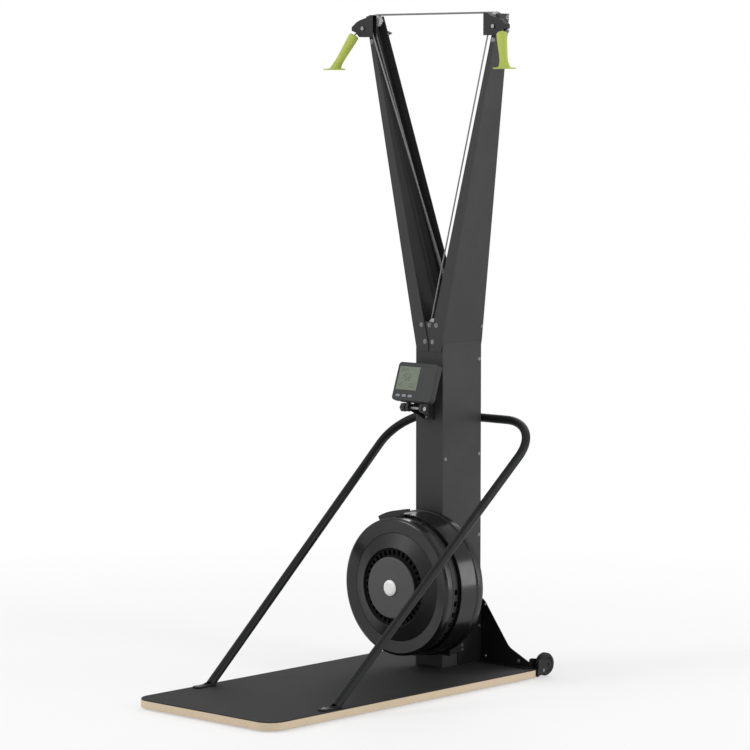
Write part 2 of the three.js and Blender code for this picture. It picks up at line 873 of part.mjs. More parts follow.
function driveRoute(side, guideY) {
  const startAngle = side > 0 ? pullTilt : Math.PI - pullTilt;
  return wrapRoute([
    { x: side * headAxisX, y: headY, z: headAxisZ, radius: headPitch, turn: side },
    { x: 0, y: guideY, z: guideHeight, radius: guidePitch, turn: side },
    { x: 0, y: guideY, z: fanHeight, radius: drumDrivePitch, turn: 1 },
  ], startAngle + side * seatGap / headPitch);
}
machine.add(
  part('drive_cord_right', tube(driveRoute(1, drumY.front), driveCordRadius), cordGrey, 0.8),
  part('drive_cord_left', tube(driveRoute(-1, drumY.rear), driveCordRadius), cordGrey, 0.8),
);

// Return cord: one elastic line from drum to drum, crossing between the arms' tops

const frontReturnY = drumY.front + drumReturnStep;
const rearReturnY = drumY.rear + drumReturnStep;

function returnRoute() {
  return wrapRoute([
    { x: 0, y: rearReturnY, z: fanHeight, radius: drumReturnPitch, turn: 1 },
    { x: -rollerX, y: rollerY, z: guideHeight, radius: rollerPitch, turn: 1 },
    { x: -returnX, y: returnY, z: returnZ, radius: returnPitch, turn: -1 },
    { x: returnX, y: returnY, z: returnZ, radius: returnPitch, turn: -1 },
    { x: rollerX, y: rollerY, z: guideHeight, radius: rollerPitch, turn: 1 },
    { x: 0, y: frontReturnY, z: fanHeight, radius: drumReturnPitch, turn: -1 },
  ]);
}
machine.add(part('return_cord', tube(returnRoute(), returnCordRadius), elasticGrey, 0.85));

// Guide pulleys on one axle, return rollers on two pins, and the bracket behind them

const bracketPlateRear = guideBracketY + guideBracketSheet;

machine.add(
  placed(
    part('guide_pulley_right', pulley(
      guidePitch, guideFlange, guideWidth, guideAxleRadius + slideGap, driveCordRadius,
    ), lightGrey, 0.5), 0, drumY.front, guideHeight,
  ),
  placed(
    part('guide_pulley_left', pulley(
      guidePitch, guideFlange, guideWidth, guideAxleRadius + slideGap, driveCordRadius,
    ), lightGrey, 0.5), 0, drumY.rear, guideHeight,
  ),
);

function makeGuideAxle() {
  const pin = disc(guideAxleRadius, columnFront, bracketPlateRear);
  const collar = (y0, y1) => ring(guideAxleRadius - slideGap, guideAxleRadius * 2, y0, y1);
  const half = guideWidth / 2 + slideGap;
  return join(
    pin, collar(insideFront + seatGap, drumY.front - half), collar(drumY.front + half, drumY.rear - half),
    collar(drumY.rear + half, guideBracketY - seatGap),
  );
}
machine.add(placed(part('guide_axle_centre', makeGuideAxle(), steelGrey, 0.35, 0.8), 0, 0, guideHeight));

addPair('return_roller', (name) => {
  const wheel = pulley(
    rollerPitch, rollerFlange, rollerWidth, rollerAxleRadius + slideGap, returnCordRadius,
  );
  return placed(part(name, wheel, lightGrey, 0.5), rollerX, rollerY, guideHeight);
});
addPair('guide_axle', (name) => {
  const half = rollerWidth / 2 + slideGap;
  const pin = disc(rollerAxleRadius, -half, bracketPlateRear - rollerY);
  const head = disc(rollerAxleRadius * 1.8, -half - rollerAxleRadius, -half);
  const collar = disc(rollerAxleRadius * 2, half, guideBracketY - seatGap - rollerY);
  return placed(part(name, join(pin, head, collar), steelGrey, 0.35, 0.8), rollerX, rollerY, guideHeight);
});

function makeGuideBracket() {
  const plate = block(
    -guideBracketHalf, guideBracketHalf, guideBracketY, bracketPlateRear, guideBracketBottom,
    guideBracketTop,
  );
  const webAt = (z) => armOuterAt(z) - armSheet - seatGap;
  const ears = [1, -1].map((side) => prismY([
    [side * (guideBracketHalf - guideBracketSheet), guideBracketBottom],
    [side * webAt(guideBracketBottom), guideBracketBottom],
    [side * webAt(guideBracketTop), guideBracketTop],
    [side * (guideBracketHalf - guideBracketSheet), guideBracketTop],
  ], guideBracketY, bracketPlateRear));
  const lips = [1, -1].map((side) => prismY([
    [side * (webAt(guideBracketBottom) - guideBracketSheet), guideBracketBottom],
    [side * webAt(guideBracketBottom), guideBracketBottom],
    [side * webAt(guideBracketTop), guideBracketTop],
    [side * (webAt(guideBracketTop) - guideBracketSheet), guideBracketTop],
  ], guideBracketY - guideBracketLip, bracketPlateRear));
  const bores = [-rollerX, 0, rollerX].map((x) => disc(
    (x === 0 ? guideAxleRadius : rollerAxleRadius) + seatGap, guideBracketY - cutOver,
    bracketPlateRear + cutOver,
  ).translate(x, 0, guideHeight));
  return cut(join(plate, ...ears, ...lips), ...bores);
}
machine.add(part('guide_bracket', makeGuideBracket(), nearBlack, 0.5, 0.4));

// Return pulleys in the arms' tops, on pins between the head's back and the arm's rear flange

addPair('return_pulley', (name) => {
  const wheel = pulley(
    returnPitch, returnFlange, returnWidth, returnAxleRadius + slideGap, returnCordRadius,
  );
  return placed(part(name, wheel, lightGrey, 0.5), returnX, returnY, returnZ);
});

const returnAxleFront = headBack + seatGap;
const returnAxleRear = armRearAt(returnZ + returnCollarRadius) - armSheet - seatGap;

addPair('return_axle', (name) => {
  const half = returnWidth / 2 + slideGap;
  const pin = disc(returnAxleRadius, returnAxleFront - returnY, returnAxleRear - returnY);
  const collars = [[returnAxleFront - returnY, -half], [half, returnAxleRear - returnY]]
    .map(([y0, y1]) => disc(returnCollarRadius, y0, y1));
  return placed(part(name, join(pin, ...collars), steelGrey, 0.35, 0.8), returnX, returnY, returnZ);
});

// Drums on the fan shaft: a wide groove for the drive cord, a narrow one for the return cord

function makeDrum() {
  const bore = shaftRadius + slideGap;
  const driveHalf = drumDriveWidth / 2;
  const returnFrom = drumReturnStep - drumReturnWidth / 2;
  const returnTo = drumReturnStep + drumReturnWidth / 2;
  const driveCore = drumDrivePitch - driveCordRadius - slideGap;
  const returnCore = drumReturnPitch - returnCordRadius - slideGap;
  return spun([
    [bore, -driveHalf], [drumDriveFlange, -driveHalf], [drumDriveFlange, -driveHalf + pulleyRim],
    [driveCore, -driveHalf + pulleyRim], [driveCore, driveHalf - pulleyRim],
    [drumDriveFlange, driveHalf - pulleyRim], [drumDriveFlange, driveHalf],
    [returnCore, returnFrom], [returnCore, returnTo - pulleyRim],
    [drumReturnFlange, returnTo - pulleyRim], [drumReturnFlange, returnTo], [bore, returnTo],
  ], 20);
}
['front', 'rear'].forEach((place) => {
  machine.add(placed(part(`drum_${place}`, makeDrum(), lightGrey, 0.5), 0, drumY[place], fanHeight));
});

// Fan unit

const bearingRadius = shaftHoleRadius - seatGap;

function makeShaft() {
  const collar = (y0, y1) => disc(shaftCollarRadius, y0, y1);
  const drumFrontEdge = drumDriveWidth / 2 + slideGap;
  const drumRearEdge = drumReturnStep + drumReturnWidth / 2 + slideGap;
  return join(
    disc(shaftRadius, shaftFront, shaftRear),
    collar(drumY.front + drumRearEdge, drumY.rear - drumFrontEdge),
    collar(drumY.rear + drumRearEdge, coverFront - seatGap - bearingFlange - slideGap),
  );
}
machine.add(placed(part('fan_shaft', makeShaft(), steelGrey, 0.35, 0.8), 0, 0, fanHeight));

function makeBearing() {
  const bore = shaftRadius + seatGap;
  return spun([
    [bore, 0], [bearingFlangeRadius, 0], [bearingFlangeRadius, bearingFlange],
    [bearingRadius, bearingFlange], [bearingRadius, bearingWidth], [bore, bearingWidth],
  ]);
}
machine.add(
  placed(
    part('bearing_rear', makeBearing(), steelGrey, 0.35, 0.8),
    0, coverFront - seatGap - bearingFlange, fanHeight,
  ),
  placed(
    part('bearing_front', makeBearing().rotateX(Math.PI), steelGrey, 0.35, 0.8),
    0, insideFront + seatGap + bearingFlange, fanHeight,
  ),
);

function aroundFan(geometry, turn) {
  return geometry.rotateY(turn);
}

// Flywheel: a back plate with leaning blades between the hub and the rim
function makeFlywheel() {
  const bore = shaftRadius + seatGap;
  const plateFront = flywheelBackY - flywheelPlate;
  const wheel = spun([
    [bore, flywheelFrontY], [flywheelHubRadius, flywheelFrontY], [flywheelHubRadius, plateFront],
    [flywheelRadius, plateFront], [flywheelRadius, flywheelBackY], [bore, flywheelBackY],
  ], shellSides);
  const half = bladeThickness / 2;
  const length = flywheelRadius - bladeInner;
  const blades = [];
  for (let i = 0; i < bladeCount; i += 1) {
    const blade = block(0, length, flywheelFrontY, plateFront + flywheelPlate / 2, -half, half);
    blade.translate(-length / 2, 0, 0).rotateY(bladeLean).translate((bladeInner + flywheelRadius) / 2, 0, 0);
    blades.push(aroundFan(blade, i / bladeCount * wholeTurn));
  }
  return join(wheel, ...blades);
}
machine.add(placed(part('flywheel', makeFlywheel(), nearBlack, 0.5, 0.4), 0, 0, fanHeight));

// Air slots in three groups, so that a sixth of a turn of the ring shuts them all
function airSlots(inner, outer) {
  const from = frontRimY + barrelSlotEnd;
  const to = rearShellFrontY - barrelSlotEnd;
  const half = barrelSlotWidth / 2;
  const slots = [];
  for (let i = 0; i < barrelSlotCount; i += 1) {
    if (i % 12 < 6) {
      slots.push(aroundFan(block(inner - cutOver, outer + cutOver, from, to, -half, half),
        i / barrelSlotCount * wholeTurn));
    }
  }
  return slots;
}

function makeFrontShell() {
  const end = rearShellFrontY - seatGap;
  const inside = frontRingRadius - shellWall;
  const barrelInner = barrelRadius - shellWall;
  const shell = spun([
    [frontLipRadius, frontLipY], [frontRingRadius - frontCorner, frontFaceY],
    [frontRingRadius, frontFaceY + frontCorner * 0.7], [frontRingRadius, frontRimY],
    [barrelRadius, frontRimY], [barrelRadius, end], [barrelInner, end],
    [barrelInner, frontRimY - shellWall], [inside, frontRimY - shellWall],
    [inside, frontFaceY + frontCorner * 0.7], [inside - frontCorner, frontFaceY + shellWall],
    [frontLipRadius, frontLipY + shellWall],
  ], shellSides);
  return cut(shell, ...airSlots(barrelInner, barrelRadius));
}
machine.add(placed(part('front_shell', makeFrontShell(), glossBlack, 0.2), 0, 0, fanHeight));

function makeFanGuard() {
  const edge = frontLipRadius - seatGap;
  const recessInner = guardRecessRadius - guardWall;
  const seatBack = frontLipY + guardWall;
  const shell = spun([
    [0, guardDiscY], [guardDiscRadius - guardDiscEdge, guardDiscY],
    [guardDiscRadius, guardDiscY + guardDiscEdge], [guardDiscRadius, guardRecessY],
    [recessInner, guardRecessY], [guardRecessRadius, guardRibY], [edge, frontLipY], [edge, seatBack],
    [guardRecessRadius + guardWall * 0.7, guardRibY + guardWall * 1.2],
    [recessInner + guardWall * 0.7, guardRecessY + guardWall],
    [guardDiscRadius - guardWall, guardRecessY + guardWall],
    [guardDiscRadius - guardWall, guardDiscY + guardDiscEdge + guardWall * 0.4],
    [guardDiscRadius - guardDiscEdge - guardWall * 0.4, guardDiscY + guardWall],
    [0, guardDiscY + guardWall],
  ], shellSides);
  const halfAt = (radius) => radius * Math.PI / guardSlotCount * guardSlotShare;
  const slots = [];
  for (let i = 0; i < guardSlotCount; i += 1) {
    const slot = prismY([
      [guardSlotInner, -halfAt(guardSlotInner)], [guardSlotOuter, -halfAt(guardSlotOuter)],
      [guardSlotOuter, halfAt(guardSlotOuter)], [guardSlotInner, halfAt(guardSlotInner)],
    ], guardRibY - cutOver, frontLipY + cutOver);
    slots.push(aroundFan(slot, i / guardSlotCount * wholeTurn));
  }
  return cut(shell, ...slots);
}
machine.add(placed(part('fan_guard', makeFanGuard(), discGrey, 0.45), 0, 0, fanHeight));

const capSeat = guardDiscY - seatGap;
const capProfile = [
  [0, capSeat - capHeight - capDome], [capRadius * 0.7, capSeat - capHeight - capDome * 0.6],
  [capRadius, capSeat - capHeight * 0.6], [capRadius, capSeat], [0, capSeat],
];
machine.add(placed(part('centre_cap', spun(capProfile, 20), lightGrey, 0.4), 0, 0, fanHeight));

// A piece of a ring, its angles in degrees from straight up toward +X
function arcOutline(inner, outer, fromAngle, toAngle) {
  const from = THREE.MathUtils.degToRad(90 - fromAngle);
  const to = THREE.MathUtils.degToRad(90 - toAngle);
  const shape = new THREE.Shape();
  shape.absarc(0, 0, outer, from, to, true);
  shape.absarc(0, 0, inner, to, from, false);
  shape.closePath();
  return shape;
}

function makeDamperRing() {
  const front = frontRimY + damperSideGap;
  const rear = rearShellFrontY - damperSideGap;
  const inner = barrelRadius + damperRunGap;
  const band = spun([
    [inner, front], [damperRidgeRadius, front], [damperRidgeRadius, front + damperRidgeWidth],
    [damperRadius, front + damperRidgeWidth], [damperRadius, rear], [inner, rear],
  ], shellSides);
  const rootRadius = (inner + damperRadius) / 2;
  const fin = prismY(
    arcOutline(rootRadius, tabTopRadius, tabFromAngle, tabToAngle), tabFrontY, tabFrontY + tabThickness,
  );
  const flap = prismY(
    arcOutline(tabTopRadius - tabThickness, tabTopRadius, tabFromAngle, tabToAngle),
    tabFrontY, tabFrontY + tabFlap,
  );
  return join(cut(band, ...airSlots(inner, damperRidgeRadius)), fin, flap);
}
machine.add(placed(part('damper_ring', makeDamperRing(), glossBlack, 0.25), 0, 0, fanHeight));

function makeRearShell() {
  const back = columnFront - seatGap;
  const wall = shellWall;
  return spun([
    [barrelRadius - shellWall * 2, rearShellFrontY], [rearShellFrontRadius, rearShellFrontY],
    [rearShellMidRadius, rearShellMidY], [rearRidgeRadius, rearShellMidY + wall],
    [rearRidgeRadius, rearRidgeBackY - wall], [rearShellMidRadius, rearRidgeBackY],
    [rearShellMidRadius, back], [rearWallOpening, back], [rearWallOpening, back - wall],
    [rearShellMidRadius - wall, back - wall], [rearShellMidRadius - wall, rearShellMidY],
    [rearShellFrontRadius - wall, rearShellFrontY + wall],
    [barrelRadius - shellWall * 2, rearShellFrontY + wall],
  ], shellSides);
}
machine.add(placed(part('rear_shell', makeRearShell(), glossBlack, 0.2), 0, 0, fanHeight));

function makeStay() {
  const inner = columnHalf + seatGap + bracketSheet + seatGap;
  const outer = inner + bracketSheet;
  const side = block(inner, outer, columnFront, stayRear, stayBottom, stayTop);
  const footPlate = block(inner, stayFoot, columnFront, columnFront + bracketSheet, stayBottom, stayTop);
  return join(side, footPlate);
}
addPair('shell_stay', (name) => part(name, makeStay(), nearBlack, 0.5, 0.3));

// Handles on their pull cords

const handleTopPoint = pullStart.clone().addScaledVector(handleAxis, handleDrop);

// A grip that tapers along its axis and stands on a level end disc
function makeHandle() {
  const fall = handleAxis.clone().multiplyScalar(handleLength);
  const grip = spun([
    [0, handleSocketDepth], [handleSocketRadius, handleSocketDepth], [handleSocketRadius, 0],
    [handleTopRadius - handleCrown, 0], [handleTopRadius, handleCrown],
    [handleWaistRadius, handleLength * handleWaistShare],
    [handleFlareRadius, handleLength * handleOverrunShare], [0, handleLength * handleOverrunShare],
  ]);
  const lean = new THREE.Quaternion().setFromUnitVectors(new THREE.Vector3(0, 1, 0), handleAxis);
  const below = block(
    fall.x - handleDiscRadius, fall.x + handleDiscRadius, fall.y - handleDiscRadius,
    fall.y + handleDiscRadius, fall.z - handleDiscRadius, fall.z,
  );
  const plate = disc(handleDiscRadius, 0, handleDiscThickness, 20).rotateX(Math.PI / 2)
    .translate(fall.x, fall.y, fall.z);
  return join(cut(grip.applyQuaternion(lean), below), plate);
}
addPair('handle', (name) => placed(
  part(name, makeHandle(), gripGreen, 0.6), handleTopPoint.x, handleTopPoint.y, handleTopPoint.z,
));

addPair('pull_cord', (name) => {
  const leave = Math.sqrt((headFlange + driveCordRadius * 2) ** 2 - headPitch ** 2);
  const pastFlange = pullStart.clone().add(
    new THREE.Vector3(leave * Math.sin(pullTilt), 0, -leave * Math.cos(pullTilt)),
  );
  const end = handleTopPoint.clone().addScaledVector(handleAxis, handleSocketDepth - seatGap);
  const route = [pullStart, pastFlange, handleTopPoint, end];
  return part(name, tube(route, driveCordRadius), cordGrey, 0.8);
});

// Monitor, tilted about its pivot: here Y runs through its depth and Z up along its face

const monitor = new THREE.Group();
monitor.position.set(0, monitorPivotY, monitorPivotZ);
monitor.rotation.x = -THREE.MathUtils.degToRad(monitorTilt);
machine.add(monitor);

const faceY = -monitorDepth;
const monitorHalf = monitorWidth / 2;
const monitorTop = monitorRise + monitorHeight;
const screenTop = monitorTop - screenTopMargin;
const buttonRow = monitorRise + buttonBottomMargin;
const screenMiddle = screenLeft + screenWidth / 2;
const buttonPlaces = [-1, 0, 1].map((step) => screenMiddle + step * buttonPitch);

function makeMonitorHousing() {
  const backStep = monitorDepth / 3;
  const corner = monitorCorner;
  const front = prismY(
    roundedRectangle(-monitorHalf, monitorHalf, monitorRise, monitorTop, corner, corner),
    faceY, -backStep,
  );
  const back = prismY(
    roundedRectangle(
      -monitorHalf + backStep, monitorHalf - backStep, monitorRise, monitorTop - backStep, corner, corner,
    ),
    -backStep - seatGap, 0,
  );
  const ears = [-1, 1].map((side) => {
    const outer = side * monitorEarHalf;
    const shape = new THREE.Shape();
    shape.absarc(-monitorEarRadius, 0, monitorEarRadius, Math.PI, wholeTurn);
    shape.lineTo(0, monitorRise + seatGap);
    shape.lineTo(-monitorEarRadius * 2, monitorRise + seatGap);
    const ear = prismX(shape, 0, monitorEarWidth).translate(0, monitorEarRadius, 0);
    return ear.translate(side > 0 ? outer - monitorEarWidth : outer, 0, 0);
  });
  const screenRoom = block(
    screenLeft - seatGap, screenLeft + screenWidth + seatGap, faceY - cutOver,
    faceY + screenThickness + seatGap, screenTop - screenHeight - seatGap, screenTop + seatGap,
  );
  const rooms = buttonPlaces.map((x) => block(
    x - buttonWidth / 2 - slideGap, x + buttonWidth / 2 + slideGap, faceY - cutOver,
    faceY + buttonDepth - buttonStand + buttonTravel + slideGap,
    buttonRow - slideGap, buttonRow + buttonHeight + slideGap,
  ));
  const bore = discX(monitorBolt + seatGap, -monitorHalf, monitorHalf, 12);
  return cut(join(front, back, ...ears), screenRoom, ...rooms, bore);
}
monitor.add(part('monitor_housing', makeMonitorHousing(), nearBlack, 0.5));
monitor.add(part('monitor_screen', block(
  screenLeft, screenLeft + screenWidth, faceY, faceY + screenThickness, screenTop - screenHeight, screenTop,
), screenGreen, 0.3));
buttonPlaces.forEach((x, i) => {
  const outline = roundedRectangle(
    x - buttonWidth / 2, x + buttonWidth / 2, buttonRow, buttonRow + buttonHeight,
    buttonHeight / 3, buttonHeight / 3,
  );
  const keys = prismY(outline, faceY - buttonStand, faceY - buttonStand + buttonDepth);
  monitor.add(part(`monitor_button_${i + 1}`, keys, lightGrey, 0.5));
});

// Monitor arm on the column's front, and the knob whose pin is the pivot
function makeMonitorArm() {
  const back = columnFront - seatGap;
  const plate = block(
    -monitorArmHalf, monitorArmHalf, back - monitorArmSheet, back, monitorArmBottom, monitorArmTop,
  );
  const nose = monitorEarRadius * 0.85;
  const outline = softened([
    [back, monitorArmBottom], [back, monitorArmTop], [monitorPivotY, monitorPivotZ + nose],
    [monitorPivotY - nose, monitorPivotZ], [monitorPivotY, monitorPivotZ - nose],
  ], nose / 2);
  const cheeks = [-monitorArmHalf, monitorArmHalf - monitorArmSheet]
    .map((x) => prismX(outline, x, x + monitorArmSheet));
  const bore = discX(monitorBolt + seatGap, -monitorHalf, monitorHalf, 12)
    .translate(0, monitorPivotY, monitorPivotZ);
  return cut(join(plate, ...cheeks), bore);
}
machine.add(part('monitor_arm', makeMonitorArm(), nearBlack, 0.5, 0.3));

function makeKnob() {
  const inner = -monitorEarHalf - seatGap;
  const outer = inner - knobLength;
  const grip = discX(knobRadius * 0.85, outer, inner);
  const lobes = [];
  for (let i = 0; i < knobLobes; i += 1) {
    const angle = i / knobLobes * wholeTurn;
    lobes.push(discX(knobRadius * 0.32, outer, inner, 6).translate(
      0, knobRadius * 0.7 * Math.cos(angle), knobRadius * 0.7 * Math.sin(angle),
    ));
  }
  const boltInner = monitorEarHalf + seatGap;
  const pin = discX(monitorBolt, inner - seatGap, boltInner + monitorBolt, 12);
  const head = discX(monitorBolt * 1.9, boltInner, boltInner + monitorBolt, 6);
  return join(grip, ...lobes, pin, head);
}
machine.add(placed(
  part('monitor_knob', makeKnob(), nearBlack, 0.6), 0, monitorPivotY, monitorPivotZ,
));

export default machine;
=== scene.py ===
import json
import math

import bmesh
import bpy
from mathutils import Matrix, Vector
from mathutils.bvhtree import BVHTree

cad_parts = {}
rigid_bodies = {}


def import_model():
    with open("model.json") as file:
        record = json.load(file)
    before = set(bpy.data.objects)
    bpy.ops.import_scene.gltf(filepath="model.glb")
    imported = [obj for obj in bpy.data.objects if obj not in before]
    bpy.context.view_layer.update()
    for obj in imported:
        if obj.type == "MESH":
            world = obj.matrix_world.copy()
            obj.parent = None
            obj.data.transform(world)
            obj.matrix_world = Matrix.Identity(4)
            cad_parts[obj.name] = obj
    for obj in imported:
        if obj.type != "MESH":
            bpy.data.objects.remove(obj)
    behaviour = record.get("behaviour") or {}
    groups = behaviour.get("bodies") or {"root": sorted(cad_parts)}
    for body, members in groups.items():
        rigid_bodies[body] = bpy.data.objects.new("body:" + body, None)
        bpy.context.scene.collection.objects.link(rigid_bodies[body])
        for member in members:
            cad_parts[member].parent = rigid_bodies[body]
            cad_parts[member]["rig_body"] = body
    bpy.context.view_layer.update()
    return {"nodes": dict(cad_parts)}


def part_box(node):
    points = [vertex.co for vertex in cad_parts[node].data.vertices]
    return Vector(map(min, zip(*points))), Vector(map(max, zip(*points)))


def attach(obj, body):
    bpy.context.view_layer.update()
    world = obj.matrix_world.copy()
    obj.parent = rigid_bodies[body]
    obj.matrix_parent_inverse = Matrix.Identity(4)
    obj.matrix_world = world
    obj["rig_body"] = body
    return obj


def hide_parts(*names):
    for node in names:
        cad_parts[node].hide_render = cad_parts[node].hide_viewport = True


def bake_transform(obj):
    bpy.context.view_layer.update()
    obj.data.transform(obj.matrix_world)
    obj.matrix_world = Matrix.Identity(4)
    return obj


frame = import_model()
nodes = frame["nodes"]

# Studio
# A white floor in a white room with four soft lamps round the machine.
# The floor keeps the machine's shadow near it and fades to plain white farther out.

CAMERA_PLACE, CAMERA_TILT, CAMERA_HEADING = (6.852, -7.264, 1.895), 84.92, 42.87
LENS, SENSOR, FARTHEST = 152.98, 36, 200
LAMPS = {"front": ((-3.2, -4.6, 4.2), (0, 0.2, 0.9), (2.2, 2.6), 150),
         "side": ((5.4, 0.9, 3.4), (0, 0.3, 0.8), (1.2, 3.4), 85),
         "back": ((-2.4, 4.4, 3.6), (0, 0.4, 1.1), (3.2, 2.6), 55),
         "edge": ((4.0, 3.75, 1.4), (0.1, 0.4, 0.4), (0.8, 2.6), 36)}
WHITE_FROM, WHITE_BY, WHITE_SHARE = 1.6, 3.4, 0.5
FLOOR_HALF, ROOM_GLOW = 60, 0.62
WHITE = (1, 1, 1, 1)


def shown(name, data):
    """A new object in the scene that holds the data."""
    made = bpy.data.objects.new(name, data)
    bpy.context.scene.collection.objects.link(made)
    return made


camera_data = bpy.data.cameras.new("camera")
camera_data.lens, camera_data.sensor_width, camera_data.clip_end = LENS, SENSOR, FARTHEST
camera = shown("camera", camera_data)
camera.location = CAMERA_PLACE
camera.rotation_euler = (math.radians(CAMERA_TILT), 0, math.radians(CAMERA_HEADING))
bpy.context.scene.camera = camera
bpy.context.scene.view_settings.view_transform = "Standard"

for name, (place, aim, size, power) in LAMPS.items():
    data = bpy.data.lights.new(f"lamp_{name}", "AREA")
    data.shape, data.size, data.size_y, data.energy = "RECTANGLE", *size, power
    lamp = shown(f"lamp_{name}", data)
    lamp.location = place
    lamp.rotation_euler = (Vector(aim) - Vector(place)).to_track_quat("-Z", "Y").to_euler()


class Field:
    """A shader socket that takes part in sums, ranges and mixes."""

    def __init__(self, wiring, socket):
        self.wiring, self.socket = wiring, socket

    def maths(self, operation, *values):
        return self.wiring.node("ShaderNodeMath", {"operation": operation}, dict(enumerate(values)))

    def __rsub__(self, other):
        return self.maths("SUBTRACT", other, self)

    def range(self, low, high, to_low=0, to_high=1):
        """What lies from low to high moved to another range, and held at its ends."""
        sockets = dict(enumerate((self, low, high, to_low, to_high)))
        return self.wiring.node("ShaderNodeMapRange", {"clamp": True}, sockets)

    def mix(self, low, high):
        """Two colours mixed by this share; each is a field, or 0 to 255 as a screen shows it."""
        low, high = [tone if isinstance(tone, Field) else linear(*tone) for tone in (low, high)]
        return self.wiring.node("ShaderNodeMix", {"data_type": "RGBA"}, {0: self, 6: low, 7: high}, 2)


for sign, operation in (("add", "ADD"), ("sub", "SUBTRACT"), ("mul", "MULTIPLY"), ("truediv", "DIVIDE")):
    setattr(Field, f"__{sign}__", lambda self, other, operation=operation: self.maths(operation, self, other))


class Wiring:
    """What material and geometry trees share: a way to add a node and feed its sockets."""

    def node(self, kind, settings, sockets, output=0):
        made = self.tree.nodes.new(kind)
        for name, value in settings.items():
            setattr(made, name, value)
        for socket, value in sockets.items():
            self.feed(made.inputs[socket], value)
        return Field(self, made.outputs[output])

    def feed(self, socket, value):
        if isinstance(value, Field):
            self.tree.links.new(value.socket, socket)
        else:
            socket.default_value = value

    def rays(self, *kinds):
        """One share for each kind of ray, which is 1 where such a ray arrives."""
        return [self.node("ShaderNodeLightPath", {}, {}, f"Is {kind} Ray") for kind in kinds]


class Finish(Wiring):
    """A material: what it is all over is given by name, what varies is fed to its sockets."""

    def __init__(self, name, **uniform):
        self.material = bpy.data.materials.new(name)
        self.material.use_nodes = True
        self.tree = self.material.node_tree
        self.tree.nodes.clear()
        self.shader = self.tree.nodes.new("ShaderNodeBsdfPrincipled")
        self.result = self.tree.nodes.new("ShaderNodeOutputMaterial")
        self.tree.links.new(self.shader.outputs[0], self.result.inputs[0])
        for socket, value in uniform.items():
            self.shader.inputs[socket.replace("_", " ").title().replace("Ior", "IOR")].default_value = value

    def place(self, output="Object"):
        return self.node("ShaderNodeTexCoord", {}, {}, output)

    def along(self, axis, place=None):
        return self.node("ShaderNodeSeparateXYZ", {}, {0: place or self.place()}, "XYZ".index(axis))

    def noise(self, scale, detail=3, rough=0.5, place=None):
        """Noise of one scale, or drawn out along the axes if the scale has three parts."""
        place = place or self.place()
        if isinstance(scale, tuple):
            place, scale = self.node("ShaderNodeMapping", {}, {"Vector": place, "Scale": scale}), 1
        sockets = {"Vector": place, "Scale": scale, "Detail": detail, "Roughness": rough}
        return self.node("ShaderNodeTexNoise", {}, sockets)

    def cells(self, scale):
        return self.node("ShaderNodeTexVoronoi", {}, {"Vector": self.place(), "Scale": scale}, "Distance")

    def vary(self, **varying):
        for socket, value in varying.items():
            self.feed(self.shader.inputs[socket.replace("_", " ").title()], value)

    def bump(self, height, distance, strength):
        sockets = {"Height": height, "Distance": distance, "Strength": strength}
        self.feed(self.shader.inputs["Normal"], self.node("ShaderNodeBump", {}, sockets))
        return self


def linear(red, green, blue):
    """A colour as a screen shows it, 0 to 255, as the shader takes it."""
    shares = [value / 255 for value in (red, green, blue)]
    curve = [s / 12.92 if s <= 0.04045 else ((s + 0.055) / 1.055) ** 2.4 for s in shares]
    return (*curve, 1)


ground = Finish("studio_floor", base_color=(0.9, 0.9, 0.9, 1), roughness=0.7)
distance = ground.node("ShaderNodeVectorMath", {"operation": "LENGTH"}, {0: ground.place()}, "Value")
sight, gloss, through = ground.rays("Camera", "Glossy", "Transmission")
white = ground.node("ShaderNodeEmission", {}, {"Color": WHITE, "Strength": 1.0})
seen = sight.maths("MAXIMUM", sight, through)
share = distance.range(WHITE_FROM, WHITE_BY, WHITE_SHARE) * seen.maths("MAXIMUM", seen, gloss)
plain = Field(ground, ground.shader.outputs[0])
ground.feed(ground.result.inputs[0], ground.node("ShaderNodeMixShader", {}, {0: share, 1: plain, 2: white}))

floor_mesh = bpy.data.meshes.new("studio_floor")
corners = [(x * FLOOR_HALF, y * FLOOR_HALF, 0) for x, y in ((-1, -1), (1, -1), (1, 1), (-1, 1))]
floor_mesh.from_pydata(corners, [], [(0, 1, 2, 3)])
floor_mesh.materials.append(ground.material)
floor = shown("studio_floor", floor_mesh)

room = bpy.data.worlds.new("studio_room")
room.use_nodes = True
walls = Wiring()
walls.tree = room.node_tree
sight, through = walls.rays("Camera", "Transmission")
backdrop = walls.tree.nodes["Background"]
backdrop.inputs["Color"].default_value = WHITE
walls.feed(backdrop.inputs["Strength"], sight.maths("MAXIMUM", sight, through).range(0, 1, ROOM_GLOW))
bpy.context.scene.world = room

# Deck
# A plywood board sawn to shape with its front corners rounded, thirteen plies deep.
# A thin rubber mat is glued over its top, and a rubber runner under each side.

HANDS = ((-1, "left"), (1, "right"))
DECK_HALF, DECK_FRONT, DECK_REAR = 0.3, -0.65825, 0.56375
DECK_FRONT_CORNER, DECK_REAR_CORNER = 0.06, 0.008
BOARD_BOTTOM, BOARD_TOP, BOARD_EASE = 0.0053, 0.029, 0.0016
MAT_BOTTOM, MAT_TOP, MAT_INSET, MAT_EASE = 0.0293, 0.032, 0.0015, 0.0009
RUNNER_WIDTH, RUNNER_INSET, RUNNER_FRONT, RUNNER_TOP, RUNNER_EASE = 0.045, 0.03, -0.44625, 0.005, 0.001
PLY_COUNT = 13


